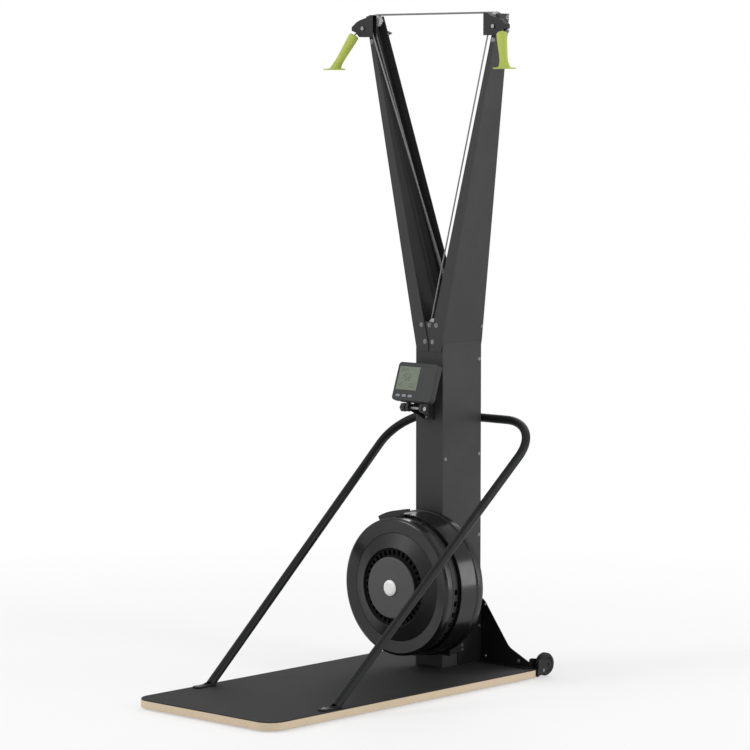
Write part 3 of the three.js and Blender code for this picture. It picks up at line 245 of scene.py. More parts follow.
def rounded(left, right, front, rear, front_corner, rear_corner, steps=14):
    """The corners of a rectangle with rounded ends, going round anticlockwise."""
    corners = ((left + front_corner, front + front_corner, front_corner, 180),
               (right - front_corner, front + front_corner, front_corner, 270),
               (right - rear_corner, rear - rear_corner, rear_corner, 0),
               (left + rear_corner, rear - rear_corner, rear_corner, 90))
    points = []
    for x, y, radius, start in corners:
        for step in range(steps + 1):
            angle = math.radians(start + 90 * step / steps)
            points.append((x + radius * math.cos(angle), y + radius * math.sin(angle)))
    return points


def slab(outline, low, high, axes="XYZ"):
    """A flat shape: its outline lies in the first two axes and its thickness in the third."""
    order = ["XYZ".index(axis) for axis in axes]
    shape = bmesh.new()

    def ring(level):
        made = []
        for u, v in outline:
            place = [0, 0, 0]
            for axis, value in zip(order, (u, v, level)):
                place[axis] = value
            made.append(shape.verts.new(place))
        return made

    bottom, top = ring(low), ring(high)
    shape.faces.new(list(reversed(bottom)))
    shape.faces.new(top)
    for i in range(len(outline)):
        j = (i + 1) % len(outline)
        shape.faces.new((bottom[i], bottom[j], top[j], top[i]))
    bmesh.ops.recalc_face_normals(shape, faces=shape.faces)
    return shape


def eased(shape, width, steps=2, angle=30):
    """The same shape with its edges sharper than the angle rounded off."""
    limit = math.radians(angle)
    edges = [e for e in shape.edges if len(e.link_faces) == 2 and e.calc_face_angle() > limit]
    bmesh.ops.bevel(shape, geom=edges, offset=width, segments=steps, profile=0.5,
                    affect="EDGES", clamp_overlap=True)
    return shape


def tile(left, right, front, rear, corner, steps, levels, ease, axes="XYZ"):
    """A flat block with four equal rounded corners and eased edges."""
    return eased(slab(rounded(left, right, front, rear, corner, corner, steps), *levels, axes), ease, 2, 50)


def circle(count):
    """The angles of equal steps once round."""
    return [2 * math.pi * i / count for i in range(count)]


def span(side, inner, outer):
    """Where a piece that lies between two distances from the middle begins and ends."""
    return sorted((side * inner, side * outer))


def meshed(shape, name="form"):
    """The shape as a mesh; the shape itself is used up."""
    mesh = bpy.data.meshes.new(name)
    shape.to_mesh(mesh)
    shape.free()
    return mesh


def worked(made):
    """The mesh that an object's modifiers make."""
    graph = bpy.context.evaluated_depsgraph_get()
    return bpy.data.meshes.new_from_object(made.evaluated_get(graph), depsgraph=graph)


def reopened(mesh):
    """A shape with the mesh's faces; the mesh itself is used up."""
    shape = bmesh.new()
    shape.from_mesh(mesh)
    bpy.data.meshes.remove(mesh)
    return shape


def settle(name, shape, finish, body, slot, *replaced, smooth=35):
    """The finished piece: its mesh, its finish, what it rides on and what it stands for."""
    mesh = meshed(shape, name)
    mesh.materials.append(finish.material)
    mesh.shade_smooth()
    mesh.set_sharp_from_angle(angle=math.radians(smooth))
    made = shown(name, mesh)
    modifier = made.modifiers.new("flat_faces", "WEIGHTED_NORMAL")
    modifier.keep_sharp = True
    made.data = worked(made)
    made.modifiers.remove(modifier)
    bpy.data.meshes.remove(mesh)
    made.data.name = name
    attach(made, body)
    if replaced:
        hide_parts(*replaced)
    return made


def dusty(name, grain, dust, patches, share, tones, gloss, bump, **uniform):
    """A dark moulding with a fine grain and patches of grey dust."""
    made = Finish(name, **uniform)
    fine, cloud = made.noise(*grain), made.noise(*dust).range(*patches) * share
    made.vary(base_color=cloud.mix(*tones), roughness=fine.range(0.3, 0.7, *gloss))
    return made.bump(fine, *bump)


plywood = Finish("birch_plywood", specular_ior_level=0.35)
grain, fibre = plywood.noise((60, 5, 60), 5, 0.6), plywood.noise((700, 30, 1500), 3, 0.7)
ply = (plywood.along("Z") - BOARD_BOTTOM) * (PLY_COUNT / (BOARD_TOP - BOARD_BOTTOM))
edge_share = ply.maths("PINGPONG", ply, 1).range(0.38, 0.62)
pale, dark = grain.mix((228, 213, 190), (213, 195, 168)), fibre.mix((202, 182, 152), (183, 161, 130))
wood = (edge_share * 0.75).mix(pale, dark)
plywood.vary(base_color=(fibre * 0.22).mix(wood, (178, 154, 118)), roughness=fibre.range(0.3, 0.7, 0.5, 0.72))
plywood.bump(fibre * 0.6 + edge_share * 0.4, 0.0003, 0.5)

mat_rubber = Finish("mat_rubber", specular_ior_level=0.22)
crumb, patch = mat_rubber.cells(950), mat_rubber.noise(7, 4, 0.6)
worn = mat_rubber.noise((38, 9, 30), 6, 0.75).range(0.56, 0.78) * patch.range(0.42, 0.7)
mat_tone = (crumb * 0.35).mix(patch.mix((29, 29, 30), (36, 36, 37)), (48, 48, 49))
mat_rubber.vary(base_color=(worn * 0.35).mix(mat_tone, (72, 70, 68)),
                roughness=crumb.range(0, 0.7, 0.56, 0.74) - worn * 0.1)
mat_rubber.bump(crumb, 0.0004, 0.55)

runner_rubber = dusty("runner_rubber", (260, 4, 0.6), (24, 5, 0.7), (0.55, 0.8), 0.4,
                      ((27, 28, 30), (62, 61, 58)), (0.65, 0.85), (0.0003, 0.4), specular_ior_level=0.4)


def deck_layer(name, inset, low, high, ease, finish, slot, node):
    """A layer of the deck, with its edge set in from the board's."""
    outline = rounded(inset - DECK_HALF, DECK_HALF - inset, DECK_FRONT + inset, DECK_REAR - inset,
                      DECK_FRONT_CORNER - inset, DECK_REAR_CORNER - inset)
    settle(name, eased(slab(outline, low, high), ease, 3, 50), finish, "frame", slot, node)


deck_layer("plywood_board", 0, BOARD_BOTTOM, BOARD_TOP, BOARD_EASE, plywood, "deck_wood", "deck_board")
deck_layer("standing_mat", MAT_INSET, MAT_BOTTOM, MAT_TOP, MAT_EASE, mat_rubber, "mat_rubber", "deck_mat")
for side, hand in HANDS:
    outer = DECK_HALF - RUNNER_INSET
    runner = tile(*span(side, outer - RUNNER_WIDTH, outer), RUNNER_FRONT, DECK_REAR, DECK_REAR_CORNER, 8,
                  (0, RUNNER_TOP), RUNNER_EASE)
    settle(f"rubber_runner_{hand}", runner, runner_rubber, "frame", "mat_rubber", f"runner_{hand}")

# Transport wheels
# Two hard rubber wheels on moulded hubs let one person tip the machine back and roll it.
# Each turns on a plain axle riveted through a folded, powder coated fork behind the deck.

WHEEL_X, WHEEL_Y, WHEEL_Z = 0.285, 0.62075, 0.0405
WHEEL_HALF, WHEEL_BORE, BOSS_TOP, BOSS_FOOT = 0.015, 0.006, 0.0115, 0.0135
HUB_RADIUS, RIM_RADIUS, WHEEL_ROUND = 0.022, 0.024, 0.0012
WEB_SHARE, RIM_SHARE, TREAD_SHARE = 0.62, 0.85, 0.42
TREAD_RADIUS, WHEEL_RADIUS, GROOVE_DEEP, GROOVE_TOP, GROOVE_FOOT = 0.033, 0.0375, 0.0016, 0.0022, 0.0012
FORK_EASE = 0.0009


def turned(profile, centre, axis="Y", sides=96):
    """A shape turned about an axis: the profile's points are (radius, place along the axis)."""
    shape = bmesh.new()
    spin = {"X": Matrix.Rotation(math.pi / 2, 4, "Y"), "Y": Matrix.Rotation(-math.pi / 2, 4, "X"),
            "Z": Matrix.Identity(4)}[axis]
    rings = []
    for radius, level in profile:
        if radius < 1e-7:
            rings.append([shape.verts.new((0, 0, level))] * sides)
            continue
        rings.append([shape.verts.new((radius * math.cos(a), radius * math.sin(a), level))
                      for a in circle(sides)])
    closed = profile[0][0] > 1e-7 and profile[-1][0] > 1e-7
    pairs = list(zip(rings, rings[1:])) + ([(rings[-1], rings[0])] if closed else [])
    made = []
    for lower, upper in pairs:
        for i in range(sides):
            j = (i + 1) % sides
            corners = [lower[i], lower[j], upper[j], upper[i]]
            kept = [v for k, v in enumerate(corners) if v not in corners[:k]]
            if len(kept) > 2:
                made.append(shape.faces.new(kept))
    fresh = {v for ring in rings for v in ring}
    bmesh.ops.transform(shape, matrix=Matrix.Translation(centre) @ spin, verts=list(fresh))
    bmesh.ops.recalc_face_normals(shape, faces=made)
    return shape


def softened(profile, reach, steps=3, closed=True):
    """A turned profile with its corners rounded, apart from those on the axis."""
    count, points = len(profile), []
    for i, (here_r, here_y) in enumerate(profile):
        here = Vector((here_r, here_y))
        ends = not closed and i in (0, count - 1)
        before, after = Vector(profile[i - 1]), Vector(profile[(i + 1) % count])
        if here_r < 1e-7 or ends:
            points.append((here_r, here_y))
            continue
        cut = min(reach, (before - here).length * 0.45, (after - here).length * 0.45)
        start = here + (before - here).normalized() * cut
        end = here + (after - here).normalized() * cut
        for step in range(steps + 1):
            t = step / steps
            point = start * (1 - t) ** 2 + here * (2 * t * (1 - t)) + end * t * t
            points.append((point.x, point.y))
    return points


def from_node(node):
    """A copy of a CAD solid's mesh with its faces joined up again."""
    shape = bmesh.new()
    shape.from_mesh(nodes[node].data)
    bmesh.ops.remove_doubles(shape, verts=shape.verts, dist=2e-6)
    bmesh.ops.dissolve_limit(shape, angle_limit=math.radians(0.6), verts=shape.verts, edges=shape.edges)
    return shape


def mirrored(half):
    """A profile that is the same on both sides of its middle, from its lower half."""
    return half + [(radius, -level) for radius, level in reversed(half)]


def powder_coat(name, tone, worn_tone, gloss, shine):
    """Baked powder paint: a fine orange peel, slow changes of gloss and a few rub marks."""
    made = Finish(name, specular_ior_level=shine)
    cloud, streak = made.noise(5, 4, 0.6), made.noise((9, 9, 1.6), 5, 0.8)
    nick = made.cells(75).range(0.06, 0.02) * made.noise(13, 3).range(0.6, 0.7)
    rub = streak.range(0.58, 0.85) * 0.22 + nick * 0.5
    made.vary(base_color=rub.mix((cloud * 0.55).mix(tone, [value * 0.86 for value in tone]), worn_tone),
              roughness=(cloud + streak * 0.5).range(0.5, 1.1, gloss - 0.07, gloss + 0.12))
    return made.bump(made.noise(420, 2, 0.4), 0.00012, 0.14)


black_paint = powder_coat("black_powder_coat", (22, 22, 24), (60, 59, 58), 0.46, 0.32)
tyre = dusty("wheel_tyre", (330, 4, 0.65), (30, 4, 0.7), (0.5, 0.75), 0.5,
             ((24, 24, 26), (70, 68, 65)), (0.6, 0.85), (0.0004, 0.5), specular_ior_level=0.4)

zinc = Finish("zinc_plated_steel", metallic=1.0)
brushed, tarnish = zinc.noise((1400, 300, 300), 4, 0.6), zinc.noise(90, 4, 0.6)
zinc.vary(base_color=tarnish.mix((158, 159, 161), (118, 118, 119)),
          roughness=(brushed + tarnish).range(0.6, 1.4, 0.22, 0.46))
zinc.bump(brushed, 0.00005, 0.3)


def folded(name, node, ease, steps=2, angle=30, finish=black_paint, slot="black_metal", smooth=35):
    """A CAD piece of the frame with its sharp edges rounded off."""
    settle(name, eased(from_node(node), ease, steps, angle), finish, "frame", slot, node, smooth=smooth)


for side, hand in HANDS:
    web, rim, tread = WHEEL_HALF * WEB_SHARE, WHEEL_HALF * RIM_SHARE, WHEEL_HALF * TREAD_SHARE
    profile = mirrored([
        (WHEEL_BORE, -WHEEL_HALF), (BOSS_TOP, -WHEEL_HALF), (BOSS_FOOT, -web), (HUB_RADIUS, -web),
        (RIM_RADIUS, -rim), (TREAD_RADIUS, -rim), (WHEEL_RADIUS, -tread), (WHEEL_RADIUS, -GROOVE_TOP),
        (WHEEL_RADIUS - GROOVE_DEEP, -GROOVE_FOOT)])
    place = (side * WHEEL_X, WHEEL_Y, WHEEL_Z)
    settle(f"rubber_wheel_{hand}", turned(softened(profile, WHEEL_ROUND), place, "X", 80), tyre,
           f"{hand}_wheel", "wheel_tyre", f"wheel_{hand}", smooth=40)
    folded(f"wheel_fork_{hand}", f"wheel_bracket_{hand}", FORK_EASE)

# Base bracket
# A folded plate of 3 mm steel, powder coated black. It is bolted down behind the column,
# its cheeks grip the column's sides, and its back slopes out to the deck's edges.

BRACKET_EASE = 0.0012

folded("base_bracket_plate", "base_bracket", BRACKET_EASE, 2, 20)

# Column
# A channel folded from 3 mm steel sheet, open at the back, with a lid screwed into it.
# Both are powder coated in a dark satin grey; the channel's front runs on as a tongue.

FOLD_EASE, LID_EASE = 0.0018, 0.001

grey_paint = powder_coat("satin_grey_powder_coat", (54, 54, 54), (78, 78, 76), 0.5, 0.26)
folded("column_channel", "column", FOLD_EASE, 3, 30, grey_paint, "frame_metal")
folded("column_lid", "column_cover", LID_EASE, 2, 30, grey_paint, "frame_metal")

# Arms
# Two tapered channels folded from steel sheet and powder coated like the column.
# They are bolted over its tongue, lean outward, and leave their inner sides open.

for side, hand in HANDS:
    folded(f"arm_channel_{hand}", f"arm_{hand}", FOLD_EASE, 3, 20, grey_paint, "frame_metal")

# Handrails
# One steel tube on each side, bent to rise from the deck and turn in behind the column.
# Each has a foot and an end plate welded on and is powder coated black.

RAIL_RADIUS, RAIL_BEND, RAIL_LIFT, PLATE_EASE = 0.014, 0.15, 0.0062, 0.0007
RAIL_FOOT, RAIL_CORNER = (0.272, -0.35625, 0.0323), (0.305, 0.58475, 0.832)
RAIL_END = (0.0003, *RAIL_CORNER[1:])
FOOT_HALF, FOOT_FRONT, FOOT_REAR, FOOT_THICK, FOOT_EASE = 0.015, -0.42025, -0.34225, 0.005, 0.0008
END_PLATE_WIDTH, END_PLATE_HALF, END_PLATE_FRONT, END_PLATE_BACK = 0.046, 0.022, 0.56405, 0.56905
SADDLE_HALF = 0.011
WELD_RADIUS, WELD_GAP, WELD_RISE, WELD_BACK = 0.0028, 0.0006, 0.0008, 0.004


def bent(start, corner, end, radius, steps=24):
    """A path along two straight runs with a true arc between them."""
    start, corner, end = Vector(start), Vector(corner), Vector(end)
    back, on = (start - corner).normalized(), (end - corner).normalized()
    half = back.angle(on) / 2
    centre = corner + (back + on).normalized() * (radius / math.sin(half))
    first = corner + back * (radius / math.tan(half)) - centre
    last = corner + on * (radius / math.tan(half)) - centre
    sweep = first.angle(last)
    arc = [centre + (first * math.sin((1 - i / steps) * sweep) + last * math.sin(i / steps * sweep))
           / math.sin(sweep) for i in range(steps + 1)]
    return [start, *arc, end]


def swept(path, radius, sides=24):
    """A round bar along a path, with its UV in metres: round it in U and along it in V."""
    shape = bmesh.new()
    chart = shape.loops.layers.uv.verify()
    points = [Vector(point) for point in path]
    tangents = [(points[min(i + 1, len(points) - 1)] - points[max(i - 1, 0)]).normalized()
                for i in range(len(points))]
    normal = tangents[0].orthogonal().normalized()
    rings, travel, runs = [], 0, []
    for i, (point, tangent) in enumerate(zip(points, tangents)):
        if i:
            normal = tangents[i - 1].rotation_difference(tangent) @ normal
            travel += (point - points[i - 1]).length
        across = tangent.cross(normal)
        rings.append([shape.verts.new(point + (normal * math.cos(a) + across * math.sin(a)) * radius)
                      for a in circle(sides)])
        runs.append(travel)
    for i in range(len(rings) - 1):
        for k in range(sides):
            m = (k + 1) % sides
            face = shape.faces.new((rings[i][k], rings[i][m], rings[i + 1][m], rings[i + 1][k]))
            for loop, (u, v) in zip(face.loops, ((k, i), (k + 1, i), (k + 1, i + 1), (k, i + 1))):
                loop[chart].uv = (u / sides, runs[v])
    shape.faces.new(list(reversed(rings[0])))
    shape.faces.new(rings[-1])
    return shape


def joined(*shapes):
    """Several shapes as one."""
    whole = bmesh.new()
    for shape in shapes:
        part = meshed(shape)
        whole.from_mesh(part)
        bpy.data.meshes.remove(part)
    return whole


tube_paint = powder_coat("black_tube_paint", (22, 23, 25), (52, 51, 50), 0.48, 0.26)

for side, hand in HANDS:
    foot, corner, end = [(side * x, y, z) for x, y, z in (RAIL_FOOT, RAIL_CORNER, RAIL_END)]
    rise = (Vector(corner) - Vector(foot)).normalized()
    tube = swept(bent(Vector(foot) + rise * RAIL_LIFT, corner, end, RAIL_BEND), RAIL_RADIUS, 40)
    bmesh.ops.recalc_face_normals(tube, faces=tube.faces)
    lean = RAIL_RADIUS / rise.z
    weld = [(foot[0] + (RAIL_RADIUS + WELD_GAP) * math.cos(a), foot[1] + WELD_BACK + lean * math.sin(a),
             foot[2] + FOOT_THICK + WELD_RISE) for a in (2 * math.pi * i / 40 for i in range(41))]
    tab = tile(foot[0] - FOOT_HALF, foot[0] + FOOT_HALF, FOOT_FRONT, FOOT_REAR, 0.01, 10,
               (foot[2], foot[2] + FOOT_THICK), FOOT_EASE)
    ends, level = span(side, RAIL_END[0], END_PLATE_WIDTH), corner[2]
    plate = tile(*ends, level - END_PLATE_HALF, level + END_PLATE_HALF, 0.004, 6,
                 (END_PLATE_FRONT, END_PLATE_BACK), PLATE_EASE, "XZY")
    saddle = tile(*ends, level - SADDLE_HALF, level + SADDLE_HALF, 0.002, 4,
                  (END_PLATE_BACK, corner[1]), PLATE_EASE, "XZY")
    settle(f"handrail_{hand}", joined(tube, swept(weld, WELD_RADIUS, 10), tab, plate, saddle), tube_paint,
           "frame", "black_metal", f"rail_{hand}")

# Fan wheel
# A moulded wheel with leaning blades turns on a steel shaft in two flanged ball bearings.
# Two nylon drums on the shaft each wind up one drive cord and one end of the return cord.


def clean_moulding(name, cloud, tones, gloss, bump, gloss_cloud=None, **uniform):
    """A light moulding whose tone and gloss drift a little over a fine texture."""
    made = Finish(name, **uniform)
    drift = made.noise(*cloud)
    sheen = made.noise(*gloss_cloud) if gloss_cloud else drift
    made.vary(base_color=drift.mix(*tones), roughness=sheen.range(0.3, 0.7, *gloss))
    scale, *depth = bump
    return made.bump(made.noise(scale, 2), *depth)


nylon = clean_moulding("natural_nylon", (38, 4, 0.6), ((212, 213, 210), (190, 191, 189)), (0.36, 0.52),
                       (500, 0.00008, 0.3), (160, 3))
wheel_plastic = dusty("fan_wheel_plastic", (420, 3, 0.6), (26, 4, 0.7), (0.45, 0.8), 0.5,
                      ((22, 22, 24), (58, 57, 55)), (0.4, 0.6), (0.0002, 0.4))


def dressed(finish, slot, *names):
    """CAD nodes that keep their shape and take the finish."""
    for name in names:
        nodes[name].material_slots[0].material = finish.material


dressed(nylon, "light_plastic", "drum_front", "drum_rear")
dressed(wheel_plastic, "black_metal", "flywheel")
dressed(zinc, "steel", "fan_shaft", "bearing_front", "bearing_rear")

# Fan housing
# Glossy black mouldings: a rear shell against the column and a front shell on its barrel.
# Slots round the barrel let air in; a ring with the same slots turns over them as damper.

FAN_CENTRE = (0, 0.46975, 0.309)
SHELL_SIDES = 144
SHELL_ROUND = 0.0022
FRONT_SHELL = [(0.175, -0.252), (0.215, -0.256), (0.223, -0.2504), (0.223, -0.228), (0.209, -0.228),
               (0.209, -0.1943), (0.206, -0.1943), (0.206, -0.231), (0.220, -0.231), (0.220, -0.2504),
               (0.212, -0.253), (0.175, -0.249)]
REAR_SHELL = [(0.203, -0.194), (0.229, -0.194), (0.233, -0.126), (0.237, -0.123), (0.237, -0.106),
              (0.233, -0.103), (0.233, -0.0943), (0.044, -0.0943), (0.044, -0.0973), (0.230, -0.0973),
              (0.230, -0.126), (0.226, -0.191), (0.203, -0.191)]
DAMPER_BAND = [(0.2098, -0.226), (0.222, -0.226), (0.222, -0.219), (0.217, -0.219), (0.217, -0.196),
               (0.2098, -0.196)]
SLOT_PLACES, SLOT_RUN, SLOTS_OPEN, SLOT_WIDTH = 36, 12, 6, 0.017
TAB_FROM, TAB_TO, TAB_ROOT, TAB_TOP, TAB_THICK = 94, 118, 0.2134, 0.244, 0.004
TAB_FRONT, TAB_FLAP, TAB_LAP = -0.215, 0.05, 0.001
BAND_ROUND, FIN_EASE, FLAP_EASE, RIB_EASE = 0.001, 0.0009, 0.0014, 0.0003
TAB_RIB, TAB_LOW, TAB_STEP, TAB_REAR = 0.8, 0.2348, -0.1965, -0.167


class Recipe(Wiring):
    """A Geometry Nodes tree with named sizes, whose result is taken as a plain mesh."""

    def __init__(self, name, **sizes):
        self.tree = bpy.data.node_groups.new(name, "GeometryNodeTree")
        self.keys = {}
        self.socket("Geometry", "INPUT", "NodeSocketGeometry")
        self.socket("Geometry", "OUTPUT", "NodeSocketGeometry")
        for label, value in sizes.items():
            kind = "NodeSocketInt" if isinstance(value, int) else "NodeSocketFloat"
            self.socket(label, "INPUT", kind).default_value = value
        self.socket("finish", "INPUT", "NodeSocketMaterial")
        self.source = self.tree.nodes.new("NodeGroupInput")
        self.result = self.tree.nodes.new("NodeGroupOutput")

    def socket(self, label, way, kind):
        made = self.tree.interface.new_socket(label, in_out=way, socket_type=kind)
        self.keys[label] = made.identifier
        return made

    def __getitem__(self, label):
        return Field(self, self.source.outputs[label])

    def vector(self, x=0, y=0, z=0):
        return self.node("ShaderNodeCombineXYZ", {}, {0: x, 1: y, 2: z})

    def moved(self, geometry, place):
        return self.node("GeometryNodeTransform", {}, {"Geometry": geometry, "Translation": place})

    def ends(self, geometry):
        real = self.node("GeometryNodeRealizeInstances", {}, {"Geometry": geometry})
        coated = self.node("GeometryNodeSetMaterial", {}, {"Geometry": real, "Material": self["finish"]})
        self.feed(self.result.inputs[0], coated)

    def make(self, shape, finish, **sizes):
        blank = shown("blank", meshed(shape))
        modifier = blank.modifiers.new("recipe", "NODES")
        modifier.node_group = self.tree
        for label, value in sizes.items():
            modifier[self.keys[label]] = value
        modifier[self.keys["finish"]] = finish.material
        result = reopened(worked(blank))
        bpy.data.objects.remove(blank)
        return result


slots = Recipe("slots_round_a_shell", places=SLOT_PLACES, run=SLOT_RUN, open=SLOTS_OPEN, inner=0.2,
               outer=0.21, front=-0.22, rear=-0.2, width=SLOT_WIDTH, flare=0.0)
number = slots.node("GeometryNodeInputIndex", {}, {})
points = slots.node("GeometryNodePoints", {}, {"Count": slots["places"]})
shut = number.maths("MODULO", number, slots["run"])
shut = slots.node("ShaderNodeMath", {"operation": "GREATER_THAN"}, {0: shut + 0.5, 1: slots["open"]})
points = slots.node("GeometryNodeDeleteGeometry", {}, {"Geometry": points, "Selection": shut})
number = slots.node("GeometryNodeInputIndex", {}, {})
kept = number.maths("FLOOR", number / slots["open"])
turn = (kept * slots["run"] + number - kept * slots["open"]) * (2 * math.pi) / slots["places"]
size = slots.vector(slots["outer"] - slots["inner"], slots["rear"] - slots["front"], slots["width"])
block = slots.node("GeometryNodeMeshCube", {}, {"Size": size})
middle = slots.vector((slots["outer"] + slots["inner"]) * 0.5, (slots["rear"] + slots["front"]) * 0.5)
block = slots.moved(block, middle)
corner = slots.node("GeometryNodeInputPosition", {}, {})
x, y, z = [slots.node("ShaderNodeSeparateXYZ", {}, {0: corner}, axis) for axis in "XYZ"]
reach = x * 2.0 / (slots["outer"] + slots["inner"])
spread = z * (slots["flare"] * (reach - 1) + 1)
block = slots.node("GeometryNodeSetPosition", {}, {"Geometry": block, "Position": slots.vector(x, y, spread)})
ring = slots.node("GeometryNodeInstanceOnPoints", {}, {
    "Points": points, "Instance": block, "Rotation": slots.vector(0, turn, 0)})
cutters = slots.node("GeometryNodeRealizeInstances", {}, {"Geometry": ring})
placed = slots.moved(cutters, FAN_CENTRE)
shell = slots.node("GeometryNodeMeshBoolean", {"operation": "DIFFERENCE", "solver": "EXACT"},
                   {"Mesh 1": slots["Geometry"], "Mesh 2": placed})
slots.ends(shell)

shell_gloss = Finish("black_gloss_moulding", coat_roughness=0.08, specular_ior_level=0.4)
swirl, film = shell_gloss.noise((160, 40, 160), 5, 0.7), shell_gloss.noise(9, 4, 0.6)
specks = shell_gloss.cells(260).range(0.1, 0.03) * film.range(0.5, 0.65)
shell_gloss.vary(base_color=(film * 0.22 + specks * 0.12).mix((10, 10, 12), (34, 34, 34)),
                 roughness=(swirl + film * 0.6).range(0.5, 1.2, 0.2, 0.29),
                 coat_weight=film.range(0.35, 0.65, 0.24, 0.12))
shell_gloss.bump(shell_gloss.noise(60, 2), 0.0002, 0.05)

ring_satin = Finish("black_satin_moulding", specular_ior_level=0.45)
ring_film, ring_grain = ring_satin.noise(12, 4, 0.6) * 0.45, ring_satin.cells(700)
ring_satin.vary(base_color=ring_film.mix((20, 20, 22), (44, 44, 44)),
                roughness=ring_grain.range(0, 0.6, 0.38, 0.54))
ring_satin.bump(ring_grain, 0.00012, 0.3)


def lathed(profile, reach, steps=3, closed=True, sides=SHELL_SIDES):
    """A moulding turned about the fan's axis with its corners rounded."""
    return turned(softened(profile, reach, steps, closed), FAN_CENTRE, "Y", sides)


def arc_plate(inner, outer, start, end, low, high, steps=20):
    """A piece of a ring round the fan's axis, its angles in degrees from +X toward +Z."""
    turns = [math.radians(start + (end - start) * i / steps) for i in range(steps + 1)]
    outline = [(outer * math.cos(a), FAN_CENTRE[2] + outer * math.sin(a)) for a in turns]
    outline += [(inner * math.cos(a), FAN_CENTRE[2] + inner * math.sin(a)) for a in reversed(turns)]
    return slab(outline, FAN_CENTRE[1] + low, FAN_CENTRE[1] + high, "XZY")


front = slots.make(lathed(FRONT_SHELL, SHELL_ROUND), shell_gloss, inner=0.2, outer=0.215)
settle("front_shell_moulding", front, shell_gloss, "frame", "shell_gloss", "front_shell", smooth=30)
settle("rear_shell_moulding", lathed(REAR_SHELL, SHELL_ROUND), shell_gloss, "frame", "shell_gloss",
       "rear_shell", smooth=30)

band = slots.make(lathed(DAMPER_BAND, BAND_ROUND), ring_satin, inner=0.2, outer=0.23)
fin = eased(arc_plate(TAB_ROOT, TAB_TOP - TAB_LAP, TAB_FROM, TAB_TO, TAB_FRONT, TAB_FRONT + TAB_THICK),
            FIN_EASE, 2, 60)
flap = eased(arc_plate(TAB_TOP - TAB_THICK, TAB_TOP, TAB_FROM, TAB_TO, TAB_FRONT, TAB_FRONT + TAB_FLAP),
             FLAP_EASE, 3, 60)
rib = [eased(arc_plate(*reach, TAB_FROM, TAB_FROM + TAB_RIB, TAB_FRONT + TAB_LAP, rear, 2), RIB_EASE, 1, 60)
       for *reach, rear in ((TAB_ROOT, TAB_LOW + TAB_LAP, TAB_STEP), (TAB_LOW, TAB_TOP - TAB_LAP, TAB_REAR))]
settle("damper_ring_moulding", joined(band, fin, flap, *rib), ring_satin, "damper", "shell_gloss",
       "damper_ring", smooth=30)

# Fan guard
# A ribbed grey moulding closes the front shell: a flat disc, a groove and a ring of vents.
# A white cap is pushed into the middle of the disc over the end of the shaft.

GUARD = [(0, -0.280), (0.096, -0.280), (0.100, -0.276), (0.100, -0.262), (0.125, -0.262),
         (0.128, -0.270), (0.1747, -0.252), (0.1747, -0.249), (0.1301, -0.2664), (0.1271, -0.259),
         (0.097, -0.259), (0.097, -0.2748), (0.0948, -0.277), (0, -0.277)]
GUARD_ROUND, CAP_ROUND, STRAP_EASE = 0.0016, 0.002, 0.0008
DISC_DEPTH, DISC_EDGES, CONE_EDGES = 0.28, (0.0985, 0.1005), (0.1265, 0.1285)
VENT_INNER, VENT_OUTER, VENT_SHARE, VENT_FRONT, VENT_REAR = 0.105, 0.121, 0.56, -0.29, -0.24
CAP = [(0, -0.2893), (0.0182, -0.2881), (0.026, -0.2839), (0.026, -0.2803), (0, -0.2803)]

guard_plastic = Finish("guard_moulding", specular_ior_level=0.3)
leather, haze = guard_plastic.cells(620), guard_plastic.noise(8, 4, 0.6)
disc_middle = (0, FAN_CENTRE[1] - DISC_DEPTH, FAN_CENTRE[2])
radial = guard_plastic.node("ShaderNodeVectorMath", {"operation": "DISTANCE"},
                            {0: guard_plastic.place(), 1: disc_middle}, "Value")
disc_share, cone_share = radial.range(*DISC_EDGES, 1, 0), radial.range(*CONE_EDGES)
groove_share = 1 - disc_share - cone_share
# The groove between the disc and the cone is painted near black (12, 12, 13), darker than the cone of the
# same moulding: painted shade in the recess.
tone_and_painted_shade = cone_share.mix((12, 12, 13), haze.mix((22, 22, 24), (31, 31, 33)))
guard_plastic.vary(base_color=disc_share.mix(tone_and_painted_shade, haze.mix((76, 76, 77), (86, 86, 87))),
                   roughness=leather.range(0, 0.6, 0.36, 0.56) - cone_share * 0.12 + groove_share * 0.4)
guard_plastic.bump(leather, 0.0002, 0.3)

white_cap = clean_moulding("white_cap_plastic", (60, 4, 0.6), ((253, 253, 251), (244, 244, 242)),
                           (0.28, 0.45), (500, 0.0001, 0.25))

vent_half = VENT_INNER + (VENT_OUTER - VENT_INNER) / 2
guard = slots.make(lathed(GUARD, GUARD_ROUND, closed=False), guard_plastic, run=SLOT_PLACES, open=SLOT_PLACES,
                   inner=VENT_INNER, outer=VENT_OUTER, front=VENT_FRONT, rear=VENT_REAR,
                   width=vent_half * 2 * math.pi / SLOT_PLACES * VENT_SHARE, flare=1.0)
settle("ribbed_fan_guard", guard, guard_plastic, "frame", "guard_grey", "fan_guard", smooth=30)
settle("white_centre_cap", lathed(CAP, CAP_ROUND, 4, False, 96), white_cap, "frame", "light_plastic",
       "centre_cap", smooth=50)
for side, hand in HANDS:
    folded(f"housing_strap_{hand}", f"shell_stay_{hand}", STRAP_EASE)

# Guide pulleys
# In the column's top two nylon pulleys on one axle turn the drive cords down to the drums.
# Two small rollers lead the return cord; a folded bracket carries the axles' rear ends.

PULLEY_RIM, GROOVE_GAP, HUB_WALL, RIM_WALL, PULLEY_ROUND = 0.0015, 0.0005, 0.004, 0.003, 0.0006
GUIDE_PLATE_EASE = 0.0007
GUIDE = dict(pitch=0.016, flange=0.02, width=0.014, bore=0.0045, cord=0.0025)
ROLLER = dict(pitch=0.008, flange=0.0125, width=0.014, bore=0.0035, cord=0.003)


def middle_of(node):
    low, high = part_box(node)
    return (low + high) / 2


